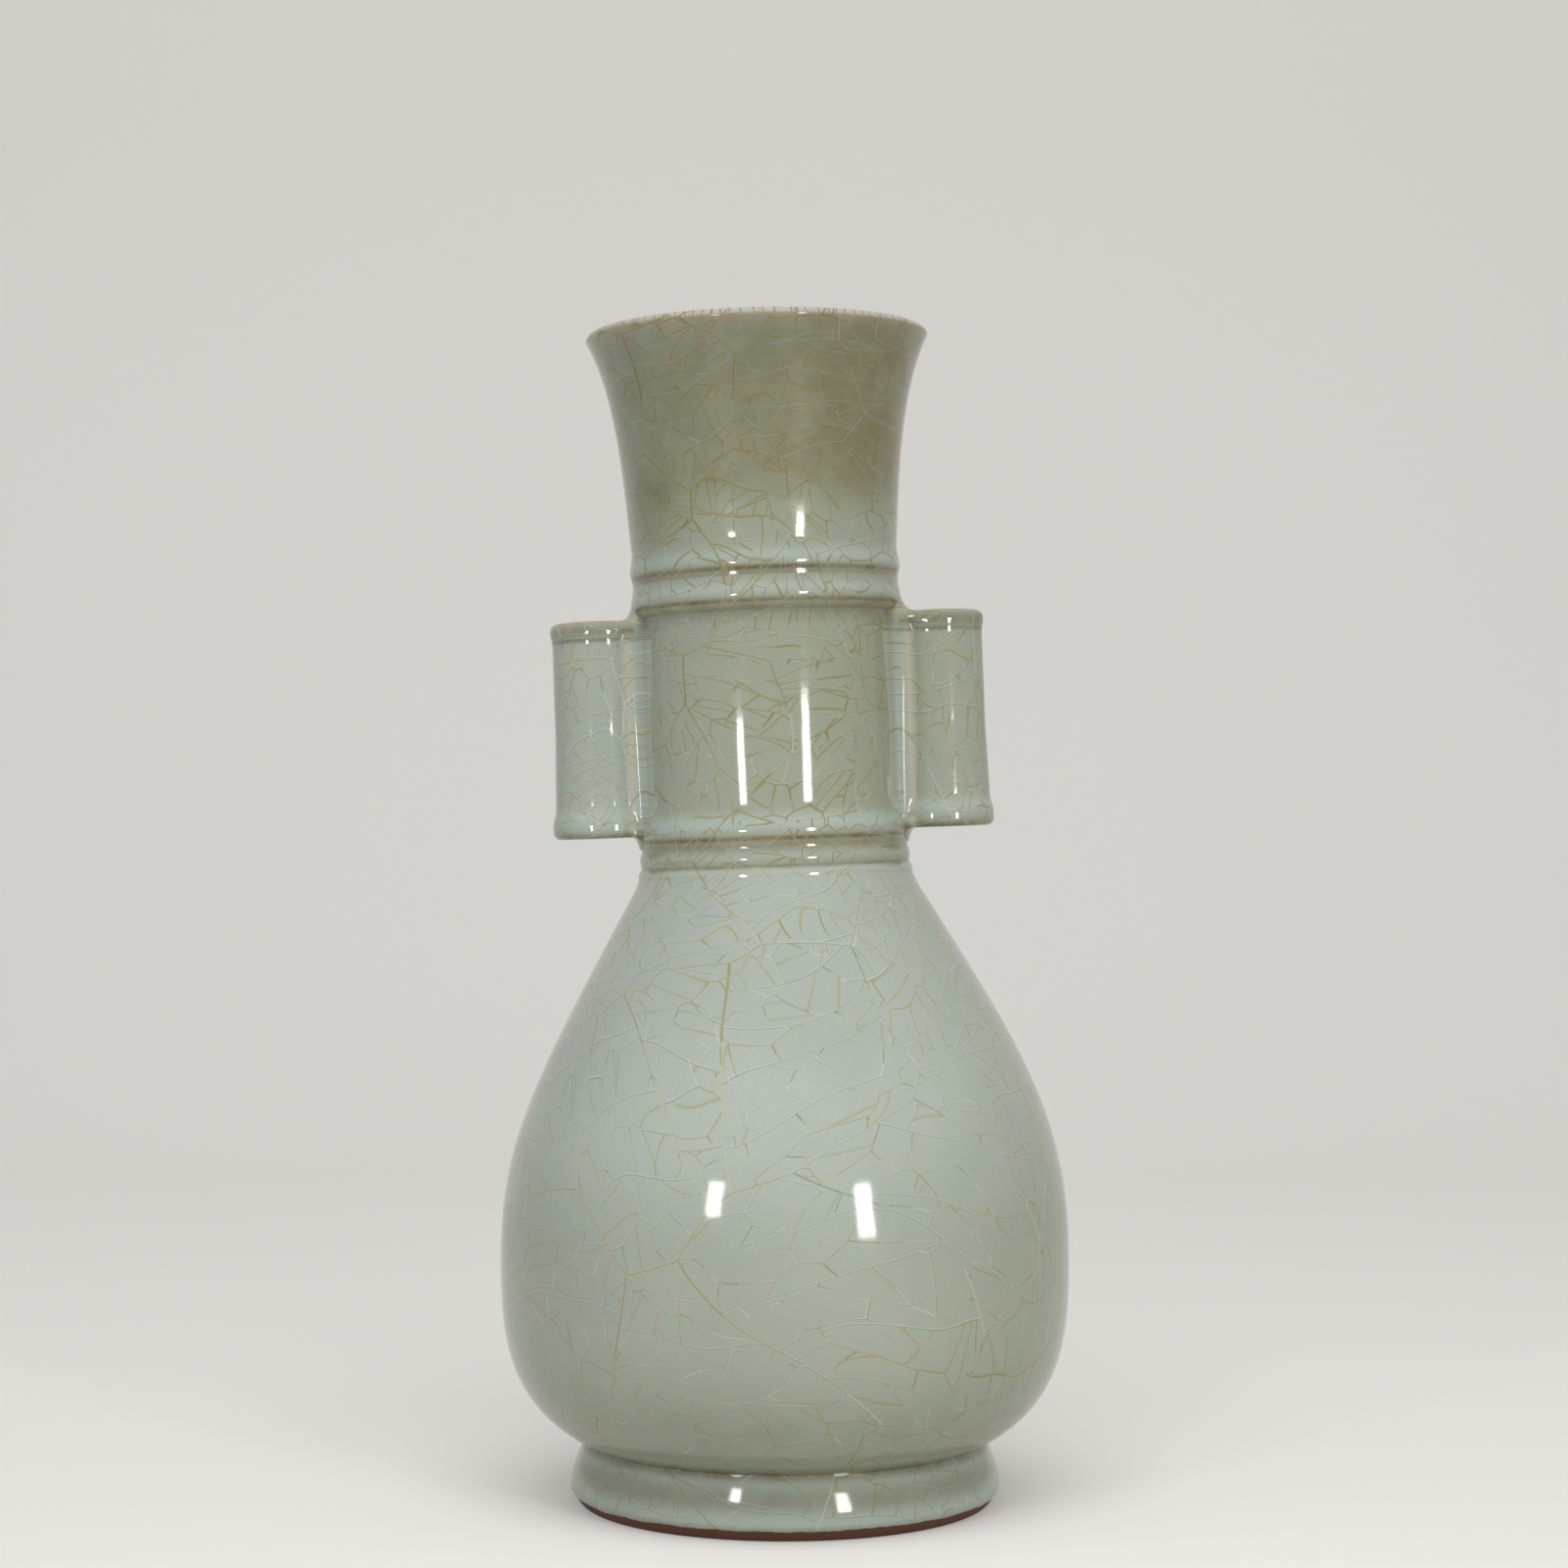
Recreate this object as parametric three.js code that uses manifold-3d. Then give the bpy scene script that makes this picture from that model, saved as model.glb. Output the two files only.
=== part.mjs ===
// A pear-shaped stoneware vase with a pierced tube on each side of its neck. It is made of the sections
// that a potter throws or rolls apart and lutes with slip: a foot ring, a bowl, a shoulder, a neck, a
// mouth and two handle tubes. Millimetres, +Z up, with the origin under the centre of the foot ring.
import * as THREE from "three";
import { mergeVertices } from "three/addons/utils/BufferGeometryUtils.js";
import Module from "manifold-3d";

const wasm = await Module();
wasm.setup();

// Heights, each counted from the section under it
const FOOT_HEIGHT = 18.5;
const BOWL_HEIGHT = 53.5; // up to the widest place
const SHOULDER_HEIGHT = 118.3; // up to the faint groove at the base of the neck
const BAND_PITCH = 7; // from groove to groove of the raised bands
const GROOVE_SPACING = 77.9; // between the grooves of the lower and the upper pair of bands
const MOUTH_HEIGHT = 76; // over the upper groove
const MOUTH_BAND_HEIGHT = 10.5; // the part of it that the uppermost band takes

// Outer radii
const BELLY_RADIUS = 85.4;
const NECK_RADIUS = 38.3; // the plain wall, recessed between the bands
const BAND_PROUD = 2.5; // how far a band stands out from the plain wall
const GROOVE_PROUD = 1.8; // how far the groove between two bands still stands out
const FLARE_SPREAD = 11.6; // how far the lip stands out from the groove under the mouth

// Foot ring
const FOOT_RADIUS = 64.4;
const FOOT_SWELL_HEIGHT = 4.8; // height of its widest place
const FOOT_TOP_RADIUS = 60.5;
const FOOT_REST_RADIUS = 60.7; // outer edge of the resting face
const FOOT_INNER_RADIUS = 55.5;
const FOOT_DRAFT = 1.5; // how far the inner wall leans in towards the top
const FOOT_BARE_HEIGHT = 3.1; // wiped clay under the glaze line
const FOOT_BEVEL_HEIGHT = 2.2; // of the bevel that starts at the resting face

// Walls
const BELLY_WALL = 6;
const NECK_WALL = 5;
const LIP_WALL = 4;
const FLOOR_THICKNESS = 8;
const FLOOR_COVE = 3; // rise of the rounded corner between floor and wall

// How far each end of a profile curve keeps its first direction
const BOWL_FULLNESS = 23;
const BOWL_SPREAD = 22.5;
const BOWL_RISE = 11.5;
const SHOULDER_FULLNESS = 38.5;
const SHOULDER_TAPER = 31.2;
const SHOULDER_FALL = 53.5;
const NECK_TURN_HEIGHT = 8; // the short hollow curve from shoulder to neck
const NECK_TURN_RADIUS = 2.8;
const FLARE_START_RISE = 31.3;
const FLARE_START_SPREAD = 1.1;
const FLARE_END_FALL = 13.2;
const FLARE_END_TAPER = 6.9;

// Handles
const TUBE_RADIUS = 13.3; // at the upper end
const TUBE_TAPER = 0.7; // how much wider the wall is at the lower end
const TUBE_WALL = 5.3;
const TUBE_LENGTH = 65.2;
const TUBE_RISE = 2.8; // of the tube's lower end over the lower groove
const TUBE_ROUND = 2.2; // rounding of its ends
const TOP_BAND_HEIGHT = 6; // thickened band at the upper end
const TOP_BAND_SWELL = 0.9;
const LOW_BAND_HEIGHT = 9.5; // flare at the lower end
const LOW_BAND_SWELL = 1.4;
const TUBE_TILT = THREE.MathUtils.degToRad(1); // the tubes lean back a little
const FILLET_RADIUS = 3.5; // slip in the corner between tube and neck
const WEB_REACH = 6.5; // how far the slip runs up the neck past the tube's upper end
const WEB_SPREAD = 5.2; // how far it runs out over that end
const LOW_WEB_REACH = 3.5; // how far it runs down the neck past the lower end
const LOW_WEB_SPREAD = 2.4; // how far it runs out under that end

// Joints and lean
const SLIP_GAP = 0.3; // thickness of slip in a joint
const NECK_LEAN = THREE.MathUtils.degToRad(2.05); // the neck sagged a little out of true in the kiln
const MOUTH_TRUING = THREE.MathUtils.degToRad(0.6); // the rim lies that much more level than the neck
const LEAN_SPAN = 72; // height over which the shoulder bends, from the widest place up

// Fineness
const ROUND_SEGMENTS = 48;
const TUBE_SEGMENTS = 28;
const ARC_STEPS = 5;
const BOWL_STEPS = 10;
const SHOULDER_STEPS = 12;
const FLARE_STEPS = 9;
const WALL_STEPS = 5;
const BAND_STEPS = 4;
const CUT_MARGIN = 2; // how far a cutting shape runs past what it cuts
const MERGE_DISTANCE = 1e-4;

const floorHeight = FOOT_HEIGHT + FLOOR_THICKNESS;
const widestHeight = FOOT_HEIGHT + BOWL_HEIGHT;
const neckBase = widestHeight + SHOULDER_HEIGHT;
const lowerGroove = neckBase + BAND_PITCH;
const upperGroove = lowerGroove + GROOVE_SPACING;
const flareBase = upperGroove + MOUTH_BAND_HEIGHT;
const topHeight = upperGroove + MOUTH_HEIGHT;
const bandRadius = NECK_RADIUS + BAND_PROUD;
const grooveRadius = NECK_RADIUS + GROOVE_PROUD;
const lipRadius = grooveRadius + FLARE_SPREAD;
const neckBore = NECK_RADIUS - NECK_WALL;
const tubeOffset = NECK_RADIUS + TUBE_RADIUS; // the tube's wall touches the neck's
const tubeBore = TUBE_RADIUS - TUBE_WALL;
const tubeBottom = lowerGroove + TUBE_RISE;
const tubeTop = tubeBottom + TUBE_LENGTH;

// A profile point: x is the radius and y the height.
function at(radius, height) {
  return new THREE.Vector2(radius, height);
}

// The outside from the foot up to the widest place.
function bowlCurve() {
  return new THREE.CubicBezierCurve(
    at(FOOT_TOP_RADIUS, FOOT_HEIGHT),
    at(FOOT_TOP_RADIUS + BOWL_SPREAD, FOOT_HEIGHT + BOWL_RISE),
    at(BELLY_RADIUS, widestHeight - BOWL_FULLNESS),
    at(BELLY_RADIUS, widestHeight),
  );
}

// The outside from the widest place up to the hollow curve under the neck.
function shoulderCurve() {
  const end = at(bandRadius + NECK_TURN_RADIUS, neckBase - NECK_TURN_HEIGHT);
  return new THREE.CubicBezierCurve(
    at(BELLY_RADIUS, widestHeight),
    at(BELLY_RADIUS, widestHeight + SHOULDER_FULLNESS),
    at(end.x + SHOULDER_TAPER, end.y - SHOULDER_FALL),
    end,
  );
}

// The short hollow curve that turns the shoulder into the neck.
function neckTurnCurve() {
  const start = at(bandRadius + NECK_TURN_RADIUS, neckBase - NECK_TURN_HEIGHT);
  const along = NECK_TURN_HEIGHT / 2;
  return new THREE.QuadraticBezierCurve(
    start,
    at(start.x - (along * SHOULDER_TAPER) / SHOULDER_FALL, start.y + along),
    at(bandRadius, neckBase),
  );
}

// The outside of the flared mouth, up to the edge of the lip.
function flareCurve() {
  const end = at(lipRadius, topHeight - LIP_WALL / 2);
  return new THREE.CubicBezierCurve(
    at(grooveRadius, flareBase),
    at(grooveRadius + FLARE_START_SPREAD, flareBase + FLARE_START_RISE),
    at(end.x - FLARE_END_TAPER, end.y - FLARE_END_FALL),
    end,
  );
}

// Points from one place to the next with a level start and end, as a throwing rib leaves a soft band.
function softStep(from, to, steps) {
  return Array.from({ length: steps }, (_, i) => {
    const share = i / steps;
    const eased = THREE.MathUtils.smoothstep(share, 0, 1);
    return at(THREE.MathUtils.lerp(from.x, to.x, eased), THREE.MathUtils.lerp(from.y, to.y, share));
  });
}

// The places through which soft steps run, joined into one outline.
function softOutline(places) {
  const points = [];
  for (let i = 1; i < places.length; i++) points.push(...softStep(places[i - 1], places[i], BAND_STEPS));
  return [...points, places[places.length - 1]];
}

// The neck's outside, from its base to the upper groove: bands, plain wall, band.
function neckOutline() {
  const half = BAND_PITCH / 2;
  const lower = softOutline([
    at(bandRadius, neckBase + SLIP_GAP / 2),
    at(bandRadius, lowerGroove - half),
    at(grooveRadius, lowerGroove),
    at(bandRadius, lowerGroove + half),
    at(NECK_RADIUS, lowerGroove + half + BAND_PITCH),
  ]);
  const upper = softOutline([
    at(NECK_RADIUS, upperGroove - half - BAND_PITCH + SLIP_GAP),
    at(bandRadius, upperGroove - half),
    at(grooveRadius, upperGroove - SLIP_GAP / 2),
  ]);
  const wallFrom = lower[lower.length - 1];
  const wallTo = upper[0];
  const wall = softStep(wallFrom, wallTo, WALL_STEPS).slice(1);
  return [...lower, ...wall, ...upper];
}

// The mouth's outside under the flare: the uppermost band.
function mouthBandOutline() {
  const half = BAND_PITCH / 2;
  const band = [
    at(grooveRadius, upperGroove + SLIP_GAP / 2),
    at(bandRadius, upperGroove + half),
    at(grooveRadius, flareBase),
  ];
  return softOutline(band).slice(0, -1);
}

// A curve's points moved inwards through the wall, whose thickness goes from one value to another.
function insideOf(curve, steps, firstWall, lastWall) {
  return Array.from({ length: steps + 1 }, (_, i) => {
    const share = i / steps;
    const point = curve.getPoint(share);
    const along = curve.getTangent(share);
    const wall = THREE.MathUtils.lerp(firstWall, lastWall, share);
    return at(point.x - along.y * wall, point.y + along.x * wall);
  });
}

// A body turned about the Z axis from a closed profile.
function turned(profile, segments = ROUND_SEGMENTS) {
  return new THREE.LatheGeometry(profile, segments).rotateX(Math.PI / 2);
}

// The outside points, then the inside points from the top down, as one closed profile.
function shell(outside, inside) {
  return [...outside, ...inside.reverse(), outside[0].clone()];
}

// Bends a straight body along the neck's leaning centre line.
function leaned(geometry) {
  const position = geometry.getAttribute("position");
  for (let i = 0; i < position.count; i++) {
    const x = position.getX(i);
    const z = position.getZ(i);
    const share = THREE.MathUtils.clamp((z - widestHeight) / LEAN_SPAN, 0, 1);
    const truing = MOUTH_TRUING * THREE.MathUtils.smoothstep(z, upperGroove, topHeight);
    const angle = NECK_LEAN * THREE.MathUtils.smoothstep(share, 0, 1) - truing;
    const bend = LEAN_SPAN * (share ** 3 - share ** 4 / 2);
    const straight = Math.max(0, z - widestHeight - LEAN_SPAN);
    const shift = -NECK_LEAN * (bend + straight);
    position.setX(i, shift + x * Math.cos(angle));
    position.setZ(i, z + x * Math.sin(angle));
  }
  geometry.computeVertexNormals();
  return geometry;
}

// A geometry as a solid that can be joined and cut.
function solidOf(geometry) {
  const bare = geometry.clone();
  bare.deleteAttribute("normal");
  bare.deleteAttribute("uv");
  const merged = mergeVertices(bare, MERGE_DISTANCE);
  const vertProperties = new Float32Array(merged.getAttribute("position").array);
  const triVerts = new Uint32Array(merged.getIndex().array);
  return new wasm.Manifold(new wasm.Mesh({ numProp: 3, vertProperties, triVerts }));
}

// A solid as a geometry again.
function geometryOf(solid) {
  const { vertProperties, triVerts } = solid.getMesh();
  const geometry = new THREE.BufferGeometry();
  geometry.setAttribute("position", new THREE.BufferAttribute(new Float32Array(vertProperties), 3));
  geometry.setIndex(new THREE.BufferAttribute(new Uint32Array(triVerts), 1));
  return geometry;
}

// The foot ring: a flat resting face, a bare bevel, a swelling and a waist under the bowl.
function footRing() {
  const top = FOOT_HEIGHT - SLIP_GAP;
  const side = new THREE.CubicBezierCurve(
    at(FOOT_RADIUS, FOOT_SWELL_HEIGHT),
    at(FOOT_RADIUS, FOOT_SWELL_HEIGHT + FOOT_BARE_HEIGHT),
    at((FOOT_RADIUS + FOOT_TOP_RADIUS) / 2, (FOOT_SWELL_HEIGHT + top) / 2),
    at(FOOT_TOP_RADIUS, top),
  );
  const outside = [
    at(FOOT_REST_RADIUS, 0),
    at((FOOT_REST_RADIUS + FOOT_RADIUS) / 2, FOOT_BEVEL_HEIGHT),
    at(FOOT_RADIUS - (FOOT_SWELL_HEIGHT - FOOT_BARE_HEIGHT) / 2, FOOT_BARE_HEIGHT),
    ...side.getPoints(ARC_STEPS),
  ];
  return turned(shell(outside, [at(FOOT_INNER_RADIUS, 0), at(FOOT_INNER_RADIUS - FOOT_DRAFT, top)]));
}

// The bowl of the belly, with the vase's floor.
function bowl() {
  const curve = bowlCurve();
  const seam = at(BELLY_RADIUS, widestHeight - SLIP_GAP / 2);
  const outside = curve.getPoints(BOWL_STEPS).slice(0, -1);
  const wall = insideOf(curve, BOWL_STEPS, BELLY_WALL, BELLY_WALL).slice(0, -1);
  const inside = wall.filter((point) => point.y > floorHeight + FLOOR_COVE);
  const cove = at(inside[0].x - 2 * FLOOR_COVE, floorHeight);
  return turned([
    at(0, FOOT_HEIGHT),
    ...outside,
    seam,
    at(seam.x - BELLY_WALL, seam.y),
    ...inside.reverse(),
    cove,
    at(0, floorHeight),
  ]);
}

// The shoulder, from the widest place to the base of the neck.
function shoulder() {
  const curve = shoulderCurve();
  const turn = neckTurnCurve();
  const seam = at(BELLY_RADIUS, widestHeight + SLIP_GAP / 2);
  const top = at(bandRadius, neckBase - SLIP_GAP / 2);
  const outside = [
    seam,
    ...curve.getPoints(SHOULDER_STEPS).slice(1),
    ...turn.getPoints(BAND_STEPS).slice(1, -1),
    top,
  ];
  const inside = [
    at(seam.x - BELLY_WALL, seam.y),
    ...insideOf(curve, SHOULDER_STEPS, BELLY_WALL, BELLY_WALL)
      .slice(1)
      .filter((point) => point.x > neckBore),
    at(neckBore, top.y),
  ];
  return leaned(turned(shell(outside, inside)));
}

// The neck, with its bands and its recessed plain wall.
function neck() {
  const outside = neckOutline();
  const bottom = at(neckBore, outside[0].y);
  const top = at(neckBore, outside[outside.length - 1].y);
  return leaned(turned(shell(outside, [...softStep(bottom, top, WALL_STEPS), top])));
}

// The mouth, with its band, its flare and its rounded lip.
function mouth() {
  const flare = flareCurve();
  const round = LIP_WALL / 2;
  const lip = new THREE.EllipseCurve(lipRadius - round, topHeight - round, round, round, 0, Math.PI);
  const outside = [...mouthBandOutline(), ...flare.getPoints(FLARE_STEPS).slice(0, -1)];
  const inside = [
    at(neckBore, upperGroove + SLIP_GAP / 2),
    ...insideOf(flare, FLARE_STEPS, grooveRadius - neckBore, LIP_WALL).slice(0, -1),
  ];
  return leaned(turned(shell([...outside, ...lip.getPoints(ARC_STEPS)], inside)));
}

// One end of a tube's outside, from the end's flat face to the plain wall: a rounded, thickened band.
function tubeEnd(wall, swell, bandHeight) {
  const corner = new THREE.EllipseCurve(
    wall + swell - TUBE_ROUND,
    TUBE_ROUND,
    TUBE_ROUND,
    TUBE_ROUND,
    -Math.PI / 2,
    0,
  );
  const flare = softStep(at(wall + swell, TUBE_ROUND), at(wall, bandHeight), BAND_STEPS).slice(1);
  return [...corner.getPoints(ARC_STEPS - 1), ...flare, at(wall, bandHeight)];
}

// The outside of a handle tube.
function tube() {
  const lower = tubeEnd(TUBE_RADIUS + TUBE_TAPER, LOW_BAND_SWELL, LOW_BAND_HEIGHT);
  const upper = tubeEnd(TUBE_RADIUS, TOP_BAND_SWELL, TOP_BAND_HEIGHT);
  const profile = [
    at(0, tubeBottom),
    ...lower.map((point) => at(point.x, tubeBottom + point.y)),
    ...upper.map((point) => at(point.x, tubeTop - point.y)).reverse(),
    at(0, tubeTop),
  ];
  return solidOf(turned(profile, TUBE_SEGMENTS).translate(tubeOffset, 0, 0));
}

// The slip in the corners between tube and neck, seen from above: it touches both with a hollow curve.
function webPlan() {
  const toNeck = NECK_RADIUS + FILLET_RADIUS;
  const toTube = TUBE_RADIUS + FILLET_RADIUS;
  const x = (toNeck ** 2 - toTube ** 2 + tubeOffset ** 2) / (2 * tubeOffset);
  const y = Math.sqrt(toNeck ** 2 - x ** 2);
  const neckAngle = Math.atan2(y, x);
  const tubeAngle = Math.atan2(y, tubeOffset - x);
  const plan = new THREE.Shape();
  plan.moveTo(neckBore * Math.cos(neckAngle), -neckBore * Math.sin(neckAngle));
  plan.absarc(x, -y, FILLET_RADIUS, Math.PI - neckAngle, tubeAngle, true);
  plan.lineTo(tubeOffset, 0);
  plan.absarc(x, y, FILLET_RADIUS, -tubeAngle, neckAngle - Math.PI, true);
  plan.lineTo(neckBore * Math.cos(neckAngle), neckBore * Math.sin(neckAngle));
  plan.closePath();
  return plan;
}

// The slip seen from the front: it runs hollow up and down the neck past the tube's ends.
function webFront() {
  const turn = bandRadius;
  const front = new THREE.Shape();
  front.moveTo(neckBore, tubeBottom - LOW_WEB_REACH);
  front.lineTo(turn, tubeBottom - LOW_WEB_REACH);
  front.quadraticCurveTo(turn, tubeBottom, turn + LOW_WEB_SPREAD, tubeBottom + TUBE_ROUND / 2);
  front.lineTo(tubeOffset, tubeBottom + TUBE_ROUND);
  front.lineTo(tubeOffset, tubeTop - TUBE_ROUND);
  front.lineTo(turn + WEB_SPREAD, tubeTop - TUBE_ROUND / 2);
  front.quadraticCurveTo(turn, tubeTop, turn, tubeTop + WEB_REACH);
  front.lineTo(neckBore, tubeTop + WEB_REACH);
  front.closePath();
  return front;
}

// The whole web of slip: what its plan and its front have in common.
function web() {
  const height = TUBE_LENGTH + 2 * WEB_REACH + 2 * CUT_MARGIN;
  const flat = { bevelEnabled: false, curveSegments: ARC_STEPS };
  const plan = new THREE.ExtrudeGeometry(webPlan(), { ...flat, depth: height });
  plan.translate(0, 0, tubeBottom - WEB_REACH - CUT_MARGIN);
  const front = new THREE.ExtrudeGeometry(webFront(), { ...flat, depth: 2 * NECK_RADIUS });
  front.rotateX(Math.PI / 2).translate(0, NECK_RADIUS, 0);
  return solidOf(plan).intersect(solidOf(front));
}

// What a handle leaves free: the neck, its slip and all that is inside them.
function neckClearance() {
  const outline = neckOutline().map((point) => at(point.x + SLIP_GAP, point.y));
  const profile = [at(0, outline[0].y), ...outline, at(0, outline[outline.length - 1].y)];
  return solidOf(turned(profile));
}

// The hole down a handle tube.
function tubeHole() {
  const length = TUBE_LENGTH + 2 * WEB_REACH + 2 * CUT_MARGIN;
  const bore = new THREE.CylinderGeometry(tubeBore, tubeBore, length, TUBE_SEGMENTS);
  return solidOf(bore.rotateX(Math.PI / 2).translate(tubeOffset, 0, (tubeBottom + tubeTop) / 2));
}

// A handle on the +X side, before the neck leans. It tilts about its middle, backwards or forwards.
function handle(tilt) {
  const middle = (tubeBottom + tubeTop) / 2;
  const luted = tube().add(web()).subtract(tubeHole()).translate([0, 0, -middle]);
  const tilted = luted.rotate([THREE.MathUtils.radToDeg(tilt), 0, 0]).translate([0, 0, middle]);
  return tilted.subtract(neckClearance());
}

// A named section of the vase.
function section(name, geometry, material) {
  const mesh = new THREE.Mesh(geometry, material);
  mesh.name = name;
  return mesh;
}

const celadon = new THREE.MeshStandardMaterial({ color: 0xa9b5ab, roughness: 0.12, metalness: 0 });
const footGlaze = new THREE.MeshStandardMaterial({ color: 0x8f8a78, roughness: 0.3, metalness: 0 });

const rightHandle = handle(-TUBE_TILT);
const leftHandle = handle(TUBE_TILT).rotate([0, 0, 180]);

const vase = new THREE.Group();
vase.add(section("foot_ring", footRing(), footGlaze));
vase.add(section("bowl", bowl(), celadon));
vase.add(section("shoulder", shoulder(), celadon));
vase.add(section("neck", neck(), celadon));
vase.add(section("mouth", mouth(), celadon));
vase.add(section("right_handle", leaned(geometryOf(rightHandle)), celadon));
vase.add(section("left_handle", leaned(geometryOf(leftHandle)), celadon));

export default vase;
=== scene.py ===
"""A pear-shaped celadon vase with a pierced tube on each side of its neck, on a plain pale floor."""

import logging
import math
from dataclasses import dataclass
from enum import Enum
from functools import reduce
from typing import Callable, Sequence

import bmesh
import bpy
from mathutils import Matrix, Vector, noise
from mathutils.geometry import interpolate_bezier


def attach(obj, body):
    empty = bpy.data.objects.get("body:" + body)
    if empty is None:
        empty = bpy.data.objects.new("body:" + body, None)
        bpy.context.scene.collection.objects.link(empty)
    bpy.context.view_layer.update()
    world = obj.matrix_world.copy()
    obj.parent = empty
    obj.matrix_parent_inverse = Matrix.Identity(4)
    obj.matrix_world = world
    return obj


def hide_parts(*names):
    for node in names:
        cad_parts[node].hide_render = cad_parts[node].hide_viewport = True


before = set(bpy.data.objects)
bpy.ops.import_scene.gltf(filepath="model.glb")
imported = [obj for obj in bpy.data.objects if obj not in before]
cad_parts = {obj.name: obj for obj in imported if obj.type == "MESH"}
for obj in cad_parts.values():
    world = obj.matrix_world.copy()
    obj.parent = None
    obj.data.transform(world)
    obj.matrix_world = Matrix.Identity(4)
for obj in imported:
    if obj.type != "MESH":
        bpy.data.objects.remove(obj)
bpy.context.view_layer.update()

log = logging.getLogger("vase")

MM = 0.001
BODY = "root"
PATTERN = "Glaze"
# The marks each point carries; the staining among them also holds painted shade in grooves and corners
MARKS = ("thin", "stain_and_shade", "warm", "pool", "dull", "grain")
SOFT = {"interpolation_type": "SMOOTHSTEP"}

# Where the walls begin in the endless pattern of cracks, and how far on the level faces have theirs
WALL_START = 100.0
LEVEL_START = 900.0

# Size across and depth of the unevenness of a thrown wall and its thick glaze, in millimetres, and the
# seed that gives it the same noise in each run
SWELLS = ((46.0, 0.16), (13.0, 0.05))
SWELL_SEED = 3

Knots = tuple[Vector, Vector, Vector, Vector]
Marks = tuple[float, float, float, float]
Tree = bpy.types.NodeTree
Socket = bpy.types.NodeSocket


class Slot(Enum):
    """The record's material slots."""

    CELADON = "celadon_glaze"
    FOOT = "foot_glaze"


class Side(Enum):
    """The side of the neck that a handle is on."""

    RIGHT = 1
    LEFT = -1


def eased(share: float) -> float:
    """Turns a share from 0 to 1 into one that starts and ends level."""
    share = min(1.0, max(0.0, share))
    return share * share * (3 - 2 * share)


def near(value: float, centre: float, reach: float) -> float:
    """A soft bump that is 1 at its centre and fades over a reach."""
    return math.exp(-(((value - centre) / reach) ** 2))


@dataclass(frozen=True)
class Patch:
    """A place where glaze is thin, pooled, or darkened by staining and in places by painted shade: all
    round, or at an angle from the front.

    The share is what the glaze has of it in the middle. Height and reach are in millimetres, turn and
    span in radians.
    """

    share: float
    height: float
    reach: float
    turn: float = 0.0
    span: float = math.inf

    def at(self, z: float, turn: float) -> float:
        """The share at a height and at an angle from the front."""
        return self.share * near(z, self.height, self.reach) * near(turn, self.turn, self.span)


def strongest(patches: Sequence[Patch], z: float, turn: float) -> float:
    """The largest share that a patch has at a height and at an angle from the front."""
    return max((patch.at(z, turn) for patch in patches), default=0.0)


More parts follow.
